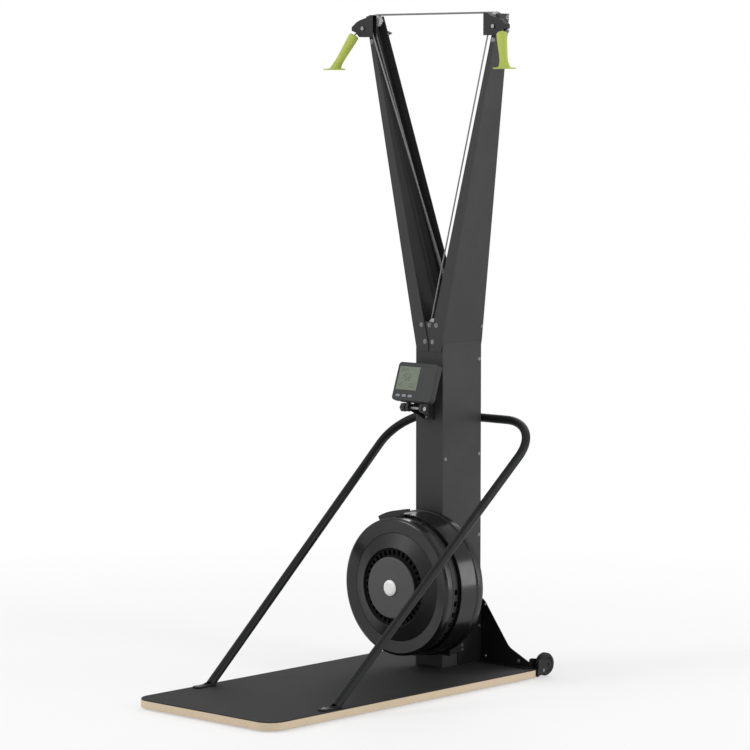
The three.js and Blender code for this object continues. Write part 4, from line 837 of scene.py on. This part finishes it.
def grooved(name, node, body, pitch, flange, width, bore, cord, recess=0.0, sides=80):
    """A turned nylon wheel whose groove holds a cord, with a thinner web if it has a recess."""
    half, bottom, groove = width / 2, cord * 0.8, pitch - cord - GROOVE_GAP
    hub, rim, web = bore + HUB_WALL, groove - RIM_WALL, recess - half
    dish = [(hub, -half), (hub + recess, web), (rim - recess, web), (rim, -half)] if recess else []
    profile = mirrored([(bore, -half), *dish, (flange, -half), (flange, PULLEY_RIM - half),
                        (groove, -bottom)])
    settle(name, turned(softened(profile, PULLEY_ROUND, 2), middle_of(node), "Y", sides), nylon, body,
           "light_plastic", node, smooth=40)


for side, hand in HANDS:
    grooved(f"guide_wheel_{hand}", f"guide_pulley_{hand}", f"{hand}_guide_pulley", **GUIDE)
    grooved(f"return_roller_wheel_{hand}", f"return_roller_{hand}", f"{hand}_return_roller", **ROLLER)
dressed(zinc, "steel", "guide_axle_left", "guide_axle_centre", "guide_axle_right")
folded("guide_plate", "guide_bracket", GUIDE_PLATE_EASE)

# Heads
# A black folded housing on each arm's top covers the pulley that the drive cord leaves by.
# A hexagon bolt is its axle; the return cord's pulley turns in the arm's top behind it.

HEAD_PULLEY = dict(pitch=0.024, flange=0.0264, width=0.014, bore=0.0055, cord=0.0025, recess=0.0025)
RETURN_PULLEY = dict(pitch=0.018, flange=0.0203, width=0.014, bore=0.0045, cord=0.003)
HEAD_EASE, BOLT_EASE = 0.0011, 0.0006

for side, hand in HANDS:
    grooved(f"head_wheel_{hand}", f"head_pulley_{hand}", f"{hand}_head_pulley", sides=112, **HEAD_PULLEY)
    grooved(f"return_wheel_{hand}", f"return_pulley_{hand}", f"{hand}_return_pulley", **RETURN_PULLEY)
    folded(f"head_housing_{hand}", f"head_{hand}", HEAD_EASE, 3, 8, smooth=40)
    folded(f"head_bolt_{hand}", f"head_axle_{hand}", BOLT_EASE, 2, 40, zinc, "steel")
dressed(zinc, "steel", "return_axle_left", "return_axle_right")

# Cords
# Two braided cords run from the handles over the head and guide pulleys to the drums.
# One elastic braided cord joins the drums over the arms' tops and winds them back.

DRIVE_RADIUS, RETURN_RADIUS, CORD_SIDES = 0.0025, 0.003, 16
HEAD_STOP, GUIDE_STOP, DRUM_STOP = (0.280, 2.100, 0.024), (0, 1.145, 0.016), (0, 0.309, 0.030)
DRIVE_Y = {"right": 0.39975, "left": 0.49975}
RETURN_DRUM, ROLLER_STOP, RETURN_STOP = (0, 0.309, 0.015), (0.034, 1.145, 0.008), (0.2573, 2.126, 0.018)
RETURN_FRONT_Y, RETURN_REAR_Y, ROLLER_Y, RETURN_Y = 0.41875, 0.51875, 0.53175, 0.40175
PULL_OUT, PULL_FORWARD, PULL_FALL = 0.050, 0.044, 0.113
HANDLE_DROP, SOCKET_DEEP, FIRST_STEP, FLANGE_CLEAR = 0.036, 0.008, 0.0003, 0.02025
PULL_TILT = math.atan2(PULL_OUT, PULL_FALL)
ARC_STEP = math.radians(6)


def stop(wheel, y, turn, side=1):
    """A wheel on a cord's way: where it stands, the cord's radius on it and the way it turns."""
    x, z, radius = wheel
    return side * x, y, z, radius, turn


def wrapped(stops, start=None):
    """A cord's path over wheels that turn about Y, from each stop to the next."""
    headings = []
    for (ax, _, az, ar, at), (bx, _, bz, br, bt) in zip(stops, stops[1:]):
        reach = math.hypot(bx - ax, bz - az)
        headings.append(math.atan2(bz - az, bx - ax) - math.asin((bt * br - at * ar) / reach))
    path = []
    for i, (x, y, z, radius, turn) in enumerate(stops):
        leave = headings[min(i, len(headings) - 1)] - turn * math.pi / 2
        meet = headings[i - 1] - turn * math.pi / 2 if i else (leave if start is None else start)
        sweep = (turn * (leave - meet)) % (2 * math.pi)
        still = sweep < FIRST_STEP / radius or sweep > 2 * math.pi - FIRST_STEP / radius
        steps = 0 if still else math.ceil(sweep / ARC_STEP)
        angles = [meet + turn * sweep * k / max(steps, 1) for k in range(steps + 1)]
        path += [(x + radius * math.cos(a), y, z + radius * math.sin(a)) for a in angles]
    return path


def line_of(start, end, steps, last=0):
    """Points from the start to just before the end, or up to it if last is 1."""
    return [start.lerp(end, i / steps) for i in range(steps + last)]


def braid(name, tone, tone_and_painted_shade, pitch, strands):
    """A braid of yarns that cross over and under, laid out on the cord's own UV map."""
    made = Finish(name, specular_ior_level=0.3)
    chart = made.place("UV")
    round_share, run = made.along("X", chart) * strands, made.along("Y", chart) / pitch
    one, other = (round_share + run) * math.pi, (round_share - run) * math.pi
    relief = (one.maths("SINE", one) * other.maths("SINE", other)).range(-1, 1)
    yarn = made.noise((90, 2600, 1), 3, 0.7, chart)
    age = yarn * 0.4 + made.noise(14, 4, 0.6) * 0.2
    # Where the relief is low the yarn takes the darker tone: painted shade in the crevices between the yarns,
    # on top of the bump.
    made.vary(base_color=age.mix(relief.mix(tone_and_painted_shade, tone), [value * 0.72 for value in tone]),
              roughness=relief.range(0, 1, 0.92, 0.72))
    return made.bump(relief * 0.8 + yarn * 0.2, 0.0006, 0.9)


# The second tone of each braid is the painted shade between its yarns.
light_braid = braid("light_cord_braid", (178, 179, 179), (104, 105, 106), 0.0052, 6)
dark_braid = braid("elastic_cord_braid", (150, 152, 154), (82, 84, 86), 0.0058, 7)

handle_line, handle_top, head_y = {}, {}, middle_of("head_pulley_left").y
way_x, way_z, way_r = HEAD_STOP
for side, hand in HANDS:
    start = PULL_TILT if side > 0 else math.pi - PULL_TILT
    stops = [stop(HEAD_STOP, head_y, side, side), stop(GUIDE_STOP, DRIVE_Y[hand], side),
             stop(DRUM_STOP, DRIVE_Y[hand], 1)]
    drive = swept(wrapped(stops, start + side * FIRST_STEP / way_r), DRIVE_RADIUS, CORD_SIDES)
    settle(f"drive_braid_{hand}", drive, light_braid, "frame", "drive_cord", f"drive_cord_{hand}", smooth=60)
    line = Vector((side * PULL_OUT, -PULL_FORWARD, -PULL_FALL)).normalized()
    leave = Vector((side * (way_x + way_r * math.cos(PULL_TILT)), head_y,
                    way_z + way_r * math.sin(PULL_TILT)))
    handle_line[hand], handle_top[hand] = line, leave + line * HANDLE_DROP
    past = leave + Vector((side * math.sin(PULL_TILT), 0, -math.cos(PULL_TILT))) * FLANGE_CLEAR
    tail = handle_top[hand] + line * (SOCKET_DEEP - FIRST_STEP)
    route = line_of(leave, past, 8) + line_of(past, handle_top[hand], 6)
    route += line_of(handle_top[hand], tail, 3, 1)
    pull = settle(f"pull_braid_{hand}", swept(route, DRIVE_RADIUS, CORD_SIDES), light_braid,
                  f"{hand}_handle", "drive_cord", f"pull_cord_{hand}", smooth=60)
    pull.parent = None
    del pull["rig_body"]
    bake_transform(pull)

elastic = [stop(RETURN_DRUM, RETURN_REAR_Y, 1), stop(ROLLER_STOP, ROLLER_Y, 1, -1),
           stop(RETURN_STOP, RETURN_Y, -1, -1), stop(RETURN_STOP, RETURN_Y, -1),
           stop(ROLLER_STOP, ROLLER_Y, 1), stop(RETURN_DRUM, RETURN_FRONT_Y, -1)]
settle("elastic_return_braid", swept(wrapped(elastic), RETURN_RADIUS, CORD_SIDES), dark_braid, "frame",
       "elastic_cord", "return_cord", smooth=60)

# Handles
# Yellow-green rubber grips moulded in one piece: a leaning shaft that flares to a level disc.
# Each hangs by its pull cord, which is knotted inside the grip's top.

GRIP_TOP, GRIP_WAIST, GRIP_FLARE, WAIST_SHARE, FLARE_POWER = 0.0165, 0.013, 0.0185, 0.74, 1.6
DISC_RADIUS, DISC_THICK, DISC_EDGE, DISC_SWELL, SWELL_INSET = 0.036, 0.004, 0.0014, 0.0075, 0.004
CROWN, SOCKET_RADIUS, SOCKET_LIP, FOOT_PULL = 0.007, 0.0055, 0.0008, 0.8
GRIP_SIDES, WAIST_STEPS, FLARE_STEPS = 72, 12, 10

grip_rubber = Finish("yellow_green_grip", specular_ior_level=0.4)
pebble, sweat = grip_rubber.cells(900), grip_rubber.noise(26, 5, 0.65)
soil = sweat.range(0.52, 0.75) * grip_rubber.noise(110, 3).range(0.4, 0.7)
grip_rubber.vary(base_color=(soil * 0.15).mix(sweat.mix((184, 197, 88), (167, 182, 80)), (124, 133, 72)),
                 roughness=pebble.range(0, 0.6, 0.5, 0.68))
grip_rubber.bump(pebble, 0.0002, 0.12)


def lofted(sections, sides):
    """A closed shape through round sections, each (middle, facing, radius); radius 0 ends it."""
    shape, rings = bmesh.new(), []
    across = Vector((1, 0, 0))
    for middle, facing, radius in sections:
        if not radius:
            rings.append([shape.verts.new(middle)] * sides)
            continue
        across = (across - facing * across.dot(facing)).normalized()
        up = facing.cross(across)
        rings.append([shape.verts.new(middle + (across * math.cos(a) + up * math.sin(a)) * radius)
                      for a in circle(sides)])
    for lower, upper in zip(rings, rings[1:]):
        for i in range(sides):
            corners = (lower[i - 1], lower[i], upper[i], upper[i - 1])
            shape.faces.new([v for k, v in enumerate(corners) if v not in corners[:k]])
    bmesh.ops.recalc_face_normals(shape, faces=shape.faces)
    return shape


def quarter(steps):
    """Angles over a quarter turn, with both its ends."""
    return [math.pi / 2 * i / steps for i in range(steps + 1)]


def gentle(share):
    """A share that leaves 0 and reaches 1 slowly."""
    return 3 * share * share - 2 * share ** 3


for side, hand in HANDS:
    line, top, down = handle_line[hand], handle_top[hand], Vector((0, 0, -1))
    long = PULL_FALL / -line.z
    foot, waist, flare_end = top + line * long, long * WAIST_SHARE, long - DISC_SWELL / -line.z
    sections = [(top + line * SOCKET_DEEP, line, 0), (top + line * SOCKET_DEEP, line, SOCKET_RADIUS),
                (top + line * SOCKET_LIP, line, SOCKET_RADIUS), (top, line, SOCKET_RADIUS + SOCKET_LIP)]
    sections += [(top + line * (CROWN * (1 - math.cos(a))), line, GRIP_TOP - CROWN * (1 - math.sin(a)))
                 for a in quarter(6)]
    for i in range(1, WAIST_STEPS + 1):
        share = i / WAIST_STEPS
        sections.append((top + line * (CROWN + (waist - CROWN) * share), line,
                         GRIP_TOP + (GRIP_WAIST - GRIP_TOP) * gentle(share)))
    for i in range(1, FLARE_STEPS + 1):
        share = i / FLARE_STEPS
        sections.append((top + line * (waist + (flare_end - waist) * share),
                         line.lerp(down, gentle(share)).normalized(),
                         GRIP_WAIST + (GRIP_FLARE - GRIP_WAIST) * share ** FLARE_POWER))
    last = sections[-1][0]
    for a in quarter(8)[1:]:
        spread = 1 - math.cos(a)
        middle = last.lerp(foot, spread * FOOT_PULL)
        level = foot.z + DISC_SWELL - (DISC_SWELL - DISC_THICK) * math.sin(a)
        sections.append((Vector((middle.x, middle.y, level)), down,
                         GRIP_FLARE + (DISC_RADIUS - DISC_EDGE - SWELL_INSET - GRIP_FLARE) * spread))
    edge = [(DISC_RADIUS - DISC_EDGE + DISC_EDGE * math.sin(a), DISC_EDGE * math.cos(a)) for a in quarter(4)]
    sections += [(foot + Vector((0, 0, DISC_THICK - DISC_EDGE + up)), down, radius) for radius, up in edge]
    sections += [(foot + Vector((0, 0, DISC_EDGE - up)), down, radius) for radius, up in reversed(edge)]
    sections.append((foot, down, 0))
    settle(f"rubber_grip_{hand}", lofted(sections, GRIP_SIDES), grip_rubber, f"{hand}_handle", "grip",
           f"handle_{hand}", smooth=40)

# Monitor
# A two-part black housing tilts on a bolt between the cheeks of a folded arm, held by a knob.
# Its pane shows plain seven-bar figures; three light keys sit in a row below the pane.

MONITOR_PLACE = Matrix.Translation((0, 0.30975, 0.880)) @ Matrix.Rotation(math.radians(-19), 4, "X")
CASE_HALF, CASE_LOW, CASE_HIGH, CASE_CORNER = 0.085, 0.0155, 0.1425, 0.012
CASE_FRONT, CASE_SEAM, CASE_INSET = -0.032, -0.01067, 0.01067
PANE = dict(left=-0.076, right=0.012, low=0.0505, high=0.1285)
WINDOW, WINDOW_DEEP = dict(left=-0.079, right=0.077, low=0.0475, high=0.1315), 0.0006
PANE_THICK, FIT, CUT_AHEAD, INK_STAND, INK_SUNK = 0.003, 0.0003, 0.004, 0.00004, 0.0002
KEY_PLACES, KEY_HALF, KEY_LOW, KEY_HIGH = (-0.058, -0.032, -0.006), 0.009, 0.0265, 0.0355
KEY_STAND, KEY_DEEP, KEY_ROOM, KEY_FIT, KEY_ROOM_CORNER = 0.0025, 0.005, 0.027, 0.0005, 0.0034
EAR_INNER, EAR_OUTER, EAR_RADIUS, PIN_RADIUS, BORE_PAST = 0.024, 0.034, 0.013, 0.004, 0.01
KNOB_IN, KNOB_OUT, KNOB_RADIUS, KNOB_MEAN, KNOB_WAVE = -0.0343, -0.0583, 0.015, 0.925, 0.07
KNOB_LOBES, LOBE_STEPS, KNOB_LAP = 6, 16, 0.004
COLLAR_LONG, COLLAR_WIDE, COLLAR_SLIM = 0.0042, 0.0095, 0.0085
PIN_END, PIN_HEAD, PIN_EASE = 0.0383, 0.0076, 0.0005
CASE_EASE, SHELL_EASE, EAR_EASE, PANE_EASE, KEY_EASE, ARM_EASE = 0.0022, 0.003, 0.001, 0.0004, 0.0009, 0.0008
ROOM_CORNER, WINDOW_CORNER, PANE_CORNER, KEY_CORNER, COLON_CORNER = 0.0015, 0.004, 0.0012, 0.003, 0.0003

case_plastic = Finish("monitor_case", specular_ior_level=0.45)
case_grain, case_cloud = case_plastic.cells(800), case_plastic.noise(16, 4, 0.6)
case_rub = case_plastic.noise(70, 5, 0.7).range(0.58, 0.8) * 0.25
case_plastic.vary(base_color=case_rub.mix(case_cloud.mix((28, 29, 31), (36, 37, 39)), (68, 68, 68)),
                  roughness=case_grain.range(0, 0.6, 0.42, 0.6))
case_plastic.bump(case_grain, 0.00015, 0.35)

pane_finish = Finish("display_pane", coat_roughness=0.2, specular_ior_level=0.3)
bands, smear = pane_finish.noise((150, 1, 1), 2, 0.5), pane_finish.noise(60, 5, 0.7)
pane_cloud, pane_tone = pane_finish.noise(22, 3, 0.5) * 0.5, bands.mix((98, 110, 93), (112, 121, 97))
pane_finish.vary(base_color=pane_cloud.mix(pane_tone, (92, 106, 94)),
                 roughness=smear.range(0.35, 0.7, 0.4, 0.55), coat_weight=smear.range(0.4, 0.7, 0.16, 0.08))
pane_finish.bump(pane_finish.noise(30, 1), 0.00008, 0.1)

figure_ink = Finish("display_figures", specular_ior_level=0.3)
fade = figure_ink.noise(90, 3, 0.6)
figure_ink.vary(base_color=fade.mix((52, 61, 52), (66, 75, 64)), roughness=fade.range(0.3, 0.7, 0.4, 0.55))

key_plastic = clean_moulding("light_key_plastic", (150, 4, 0.65), ((132, 138, 143), (112, 117, 122)),
                             (0.36, 0.55), (600, 0.00008, 0.3), specular_ior_level=0.45)


def carved(shape, *cutters):
    """The shape with each cutter's form taken out of it."""
    made = [shown("form", meshed(form)) for form in (shape, *cutters)]
    for cutter in made[1:]:
        modifier = made[0].modifiers.new("cut", "BOOLEAN")
        modifier.operation, modifier.solver, modifier.object = "DIFFERENCE", "EXACT", cutter
    result = reopened(worked(made[0]))
    for form in made:
        bpy.data.objects.remove(form)
    return result


def panel(left, right, low, high, front, back, corner):
    """A flat block of the monitor with rounded corners, in the monitor's own upright frame."""
    return slab(rounded(left, right, low, high, corner, corner, 8), front, back, "XZY")


def tilted(shape):
    """From the monitor's own upright frame to its place on the machine."""
    bmesh.ops.transform(shape, matrix=MONITOR_PLACE, verts=shape.verts)
    return shape


def grown(sizes, by):
    return {"left": sizes["left"] - by, "right": sizes["right"] + by,
            "low": sizes["low"] - by, "high": sizes["high"] + by}


rooms = [panel(**grown(PANE, FIT), front=CASE_FRONT - CUT_AHEAD, back=CASE_FRONT + PANE_THICK + FIT,
               corner=ROOM_CORNER),
         panel(**WINDOW, front=CASE_FRONT - CUT_AHEAD, back=CASE_FRONT + WINDOW_DEEP, corner=WINDOW_CORNER)]
rooms += [panel(x - KEY_HALF - KEY_FIT, x + KEY_HALF + KEY_FIT, KEY_LOW - KEY_FIT, KEY_HIGH + KEY_FIT,
                CASE_FRONT - CUT_AHEAD, -KEY_ROOM, KEY_ROOM_CORNER) for x in KEY_PLACES]
face = eased(panel(-CASE_HALF, CASE_HALF, CASE_LOW, CASE_HIGH, CASE_FRONT, CASE_SEAM, CASE_CORNER),
             CASE_EASE, 4, 50)
shell = eased(panel(CASE_INSET - CASE_HALF, CASE_HALF - CASE_INSET, CASE_LOW, CASE_HIGH - CASE_INSET,
                    CASE_SEAM - FIT, 0, CASE_CORNER), SHELL_EASE, 4, 50)


def bar_along_x(half, side=1, sides=32, centre=(0, 0, 0)):
    """A shape turned about X from its (radius, place) points, for one side of the middle."""
    return turned([(radius, side * x) for radius, x in half], centre, "X", sides)


ears = []
for side, hand in HANDS:
    arc = [math.pi * (1 + i / 24) for i in range(25)]
    outline = [(EAR_RADIUS * math.cos(a), EAR_RADIUS * math.sin(a)) for a in arc]
    outline += [(EAR_RADIUS, CASE_LOW + FIT), (-EAR_RADIUS, CASE_LOW + FIT)]
    ear = eased(slab(outline, *span(side, EAR_INNER, EAR_OUTER), "YZX"), EAR_EASE, 2, 40)
    start, end, radius = EAR_INNER - BORE_PAST, EAR_OUTER + BORE_PAST, PIN_RADIUS + FIT
    ears.append(carved(ear, bar_along_x([(0, start), (radius, start), (radius, end), (0, end)], side)))
settle("monitor_case", tilted(joined(carved(face, *rooms), shell, *ears)), case_plastic, "monitor",
       "monitor_plastic", "monitor_housing", smooth=40)
pane = panel(**PANE, front=CASE_FRONT, back=CASE_FRONT + PANE_THICK, corner=PANE_CORNER)
settle("display_pane", tilted(eased(pane, PANE_EASE, 2, 50)), pane_finish, "monitor", "screen",
       "monitor_screen")

BARS = {"top": (0, 1, 0), "upper_left": (-0.5, 0.5, 1), "upper_right": (0.5, 0.5, 1), "middle": (0, 0, 0),
        "lower_left": (-0.5, -0.5, 1), "lower_right": (0.5, -0.5, 1), "bottom": (0, -1, 0)}
FIGURES = {0: "top upper_left upper_right lower_left lower_right bottom", 1: "upper_right lower_right",
           2: "top upper_right middle lower_left bottom", 3: "top upper_right middle lower_right bottom",
           4: "upper_left upper_right middle lower_right", 5: "top upper_left middle lower_right bottom"}
ROWS = ((0.1175, 0.0105, (2, 0, 3, 4), (-0.066, -0.0585, -0.049, -0.0415)),
        (0.0930, 0.0195, (1, 5, 2), (-0.058, -0.042, -0.026)), (0.0665, 0.0125, (4, 5), (-0.064, -0.054)),
        (0.0665, 0.0125, (1, 2, 0), (-0.026, -0.016, -0.006)))
COLON_LEFT, COLON_WIDE, COLON_HEIGHTS = -0.054, 0.0012, (0.1145, 0.119)
INK_LEVELS = (CASE_FRONT - INK_STAND, CASE_FRONT + INK_SUNK)


def figure(value, x, z, high):
    """One seven-bar figure on the pane, made of six-cornered bars."""
    wide, thick, bars = high * 0.5, high * 0.1, []
    for name in FIGURES[value].split():
        across, up, upright = BARS[name]
        half = (high / 4 if upright else wide / 2) - thick * 0.35
        cut = half - thick / 2
        outline = [(-half, 0), (-cut, -thick / 2), (cut, -thick / 2), (half, 0), (cut, thick / 2),
                   (-cut, thick / 2)]
        if upright:
            outline = [(-v, u) for u, v in outline]
        place = [(x + across * wide + u, z + up * high / 2 + v) for u, v in outline]
        bars.append(slab(place, *INK_LEVELS, "XZY"))
    return bars


marks = [bar for z, high, values, places in ROWS for value, x in zip(values, places)
         for bar in figure(value, x, z, high)]
marks += [panel(COLON_LEFT, COLON_LEFT + COLON_WIDE, z, z + COLON_WIDE, *INK_LEVELS, COLON_CORNER)
          for z in COLON_HEIGHTS]
settle("display_figures", tilted(joined(*marks)), figure_ink, "monitor", "screen")

for i, x in enumerate(KEY_PLACES, 1):
    key = panel(x - KEY_HALF, x + KEY_HALF, KEY_LOW, KEY_HIGH, CASE_FRONT - KEY_STAND,
                CASE_FRONT - KEY_STAND + KEY_DEEP, KEY_CORNER)
    settle(f"monitor_key_{i}", tilted(eased(key, KEY_EASE, 3, 50)), key_plastic, f"button_{i}",
           "light_plastic", f"monitor_button_{i}")

folded("monitor_arm_plate", "monitor_arm", ARM_EASE)

outline = []
for i, a in enumerate(circle(LOBE_STEPS * KNOB_LOBES)):
    radius = KNOB_RADIUS * (KNOB_MEAN + KNOB_WAVE * math.cos(2 * math.pi * i / LOBE_STEPS))
    outline.append((radius * math.cos(a), radius * math.sin(a)))
knob = eased(slab(outline, KNOB_OUT, KNOB_IN - KNOB_LAP, "YZX"), CASE_EASE, 4, 60)
collar_end = KNOB_IN - COLLAR_LONG
collar = [(0, collar_end), (COLLAR_WIDE, collar_end), (COLLAR_SLIM, KNOB_IN), (0, KNOB_IN)]
knob = joined(knob, bar_along_x(softened(collar, 0.0006, 2, closed=False), sides=48))
start, end = KNOB_IN - FIT, EAR_OUTER + FIT
pin = bar_along_x([(0, start), (PIN_RADIUS, start), (PIN_RADIUS, end), (0, end)])
head = bar_along_x([(0, end), (PIN_HEAD, end), (PIN_HEAD, PIN_END), (0, PIN_END)], sides=6)
bolt = joined(pin, eased(head, PIN_EASE, 2, 30))
pivot = Matrix.Translation(MONITOR_PLACE.translation)
for shape in (knob, bolt):
    bmesh.ops.transform(shape, matrix=pivot, verts=shape.verts)
settle("tilt_knob", knob, case_plastic, "knob", "monitor_plastic", "monitor_knob")
settle("tilt_bolt", bolt, zinc, "knob", "steel")

# Fasteners
# Zinc plated button screws with hexagon sockets hold the sheet metal, the rails and the forks.
# Each stands on the surface that it clamps; nuts on their tails show inside the arms' tops.

SCREW, SMALL_SCREW, HOUSING_SCREW = 0.0056, 0.004, 0.0032
SUNK = 0.0002
HEAD_TOP, HEAD_HIGH, SOCKET_WIDE, SOCKET_DEPTH, WASHER_WIDE, WASHER_HIGH = 0.66, 0.62, 0.36, 0.6, 1.3, 0.16
NUT_HALF, NUT_HIGH, NUT_LAP, NUT_EASE = 0.0075, 0.0055, 0.0005, 0.0005
TAIL_HALF, TAIL_SLIM, TAIL_SHANK, TAIL_LONG = 0.0038, 0.0032, 0.0145, 0.0155

heads = Recipe("socket_screw_heads", radius=0.006)
radius = heads["radius"]
cone = heads.node("GeometryNodeMeshCone", {}, {
    "Vertices": 28, "Side Segments": 1, "Radius Top": radius * HEAD_TOP, "Radius Bottom": radius,
    "Depth": radius * HEAD_HIGH})
socket = heads.node("GeometryNodeMeshCylinder", {}, {
    "Vertices": 6, "Radius": radius * SOCKET_WIDE, "Depth": radius * SOCKET_DEPTH})
socket = heads.moved(socket, heads.vector(0, 0, radius * SOCKET_DEPTH))
head = heads.node("GeometryNodeMeshBoolean", {"operation": "DIFFERENCE", "solver": "EXACT"},
                  {"Mesh 1": cone, "Mesh 2": socket})
washer = heads.node("GeometryNodeMeshCylinder", {}, {
    "Vertices": 36, "Radius": radius * WASHER_WIDE, "Depth": radius * WASHER_HIGH})
washer = heads.moved(washer, heads.vector(0, 0, radius * (WASHER_HIGH / 2)))
screw = heads.node("GeometryNodeJoinGeometry", {}, {})
for piece in (head, washer):
    heads.tree.links.new(piece.socket, screw.socket.node.inputs[0])
facing = heads.node("GeometryNodeInputNamedAttribute", {"data_type": "FLOAT_VECTOR"}, {"Name": "facing"})
aim = heads.node("FunctionNodeAlignRotationToVector", {"axis": "Z"}, {"Vector": facing})
heads.ends(heads.node("GeometryNodeInstanceOnPoints", {}, {
    "Points": heads["Geometry"], "Instance": screw, "Rotation": aim}))


def seat(node, start, way):
    """Where a straight line meets a CAD piece, and the way that the surface faces there."""
    form = from_node(node)
    place, normal, _, _ = BVHTree.FromBMesh(form).ray_cast(Vector(start), Vector(way))
    form.free()
    return place - normal * SUNK, normal


def screws(name, body, radius, places):
    """One object that holds a screw head at each place, facing out of its surface."""
    blank = bmesh.new()
    layer = blank.verts.layers.float_vector.new("facing")
    for place, normal in places:
        blank.verts.new(place)[layer] = normal
    settle(name, heads.make(blank, zinc, radius=radius), zinc, body, "steel")


INWARD, BACKWARD, FORWARD, DOWN = (-1, 0, 0), (0, 1, 0), (0, -1, 0), (0, 0, -1)
SIDE, BEHIND = 0.6, 1.0
LARGE = [("arm_*", (0.032, 0.2, 1.145), BACKWARD), ("arm_*", (0.016, 0.2, 1.091), BACKWARD),
         ("arm_*", (0.2615, 0.2, 2.058), BACKWARD), ("arm_*", (SIDE, 0.43775, 2.085), INWARD),
         ("arm_*", (SIDE, 0.42475, 2.130), INWARD), ("base_bracket", (0.078, 0.5, 0.220), BACKWARD),
         ("base_bracket", (0.081, 0.5, 0.050), BACKWARD), ("base_bracket", (0.223, 0.5, 0.050), BACKWARD),
         ("base_bracket", (SIDE, 0.55575, 0.148), INWARD), ("rail_*", (0.272, -0.40225, 0.3), DOWN)]
SMALL = [("column", (SIDE, 0.55475, z), INWARD) for z in (1.028, 0.717, 0.450)]
SMALL += [("column_cover", (0.045, BEHIND, z), FORWARD) for z in (0.30, 0.52, 0.74, 0.96)]
SMALL += [("shell_stay_*", (SIDE, 0.46675, z), INWARD) for z in (0.081, 0.095)]
SMALL += [("monitor_arm", (0.012, 0.2, z), BACKWARD) for z in (0.848, 0.890)]
SMALL += [("arm_*", (SIDE, 0.55475, 1.135), INWARD), ("column", (SIDE, 0.38975, 0.712), INWARD),
          ("wheel_bracket_*", (SIDE, 0.59275, 0.026), INWARD)]


def both_sides(rows):
    """Each row's seat on the right, and its mirror image on the left."""
    for node, (x, y, z), way in rows:
        for side, hand in ((1, "right"), (-1, "left")):
            yield seat(node.replace("*", hand), (side * x, y, z), (side * way[0], *way[1:]))


plates = [(Vector((side * 0.023, END_PLATE_BACK, RAIL_CORNER[2] + rise)), Vector(BACKWARD))
          for side in (-1, 1) for rise in (-0.0165, 0.0165)]
screws("frame_screws", "frame", SCREW,
       [*both_sides(LARGE), seat("guide_axle_centre", (0, 0.2, 1.145), BACKWARD)])
screws("small_frame_screws", "frame", SMALL_SCREW, [*both_sides(SMALL), *plates])
turn = MONITOR_PLACE.to_3x3()
screws("housing_screws", "monitor", HOUSING_SCREW,
       [(MONITOR_PLACE @ Vector((x, 0, z)), turn @ Vector((0, 1, 0)))
        for x in (-0.062, 0.062) for z in (0.028, 0.119)])

nuts = []
for side, hand in HANDS:
    for y, z in ((0.43775, 2.085), (0.42475, 2.130)):
        place, _ = seat(f"arm_{hand}", (0, y, z), (side, 0, 0))
        hexagon = [(0, NUT_LAP), (NUT_HALF, NUT_LAP), (NUT_HALF, -NUT_HIGH), (0, -NUT_HIGH)]
        tail = [(0, NUT_LAP), (TAIL_HALF, NUT_LAP), (TAIL_HALF, -TAIL_SHANK), (TAIL_SLIM, -TAIL_LONG),
                (0, -TAIL_LONG)]
        nuts += [eased(bar_along_x(hexagon, side, 6, place), NUT_EASE, 2, 30),
                 bar_along_x(tail, side, 24, place)]
settle("arm_nuts", joined(*nuts), zinc, "frame", "steel", smooth=30)
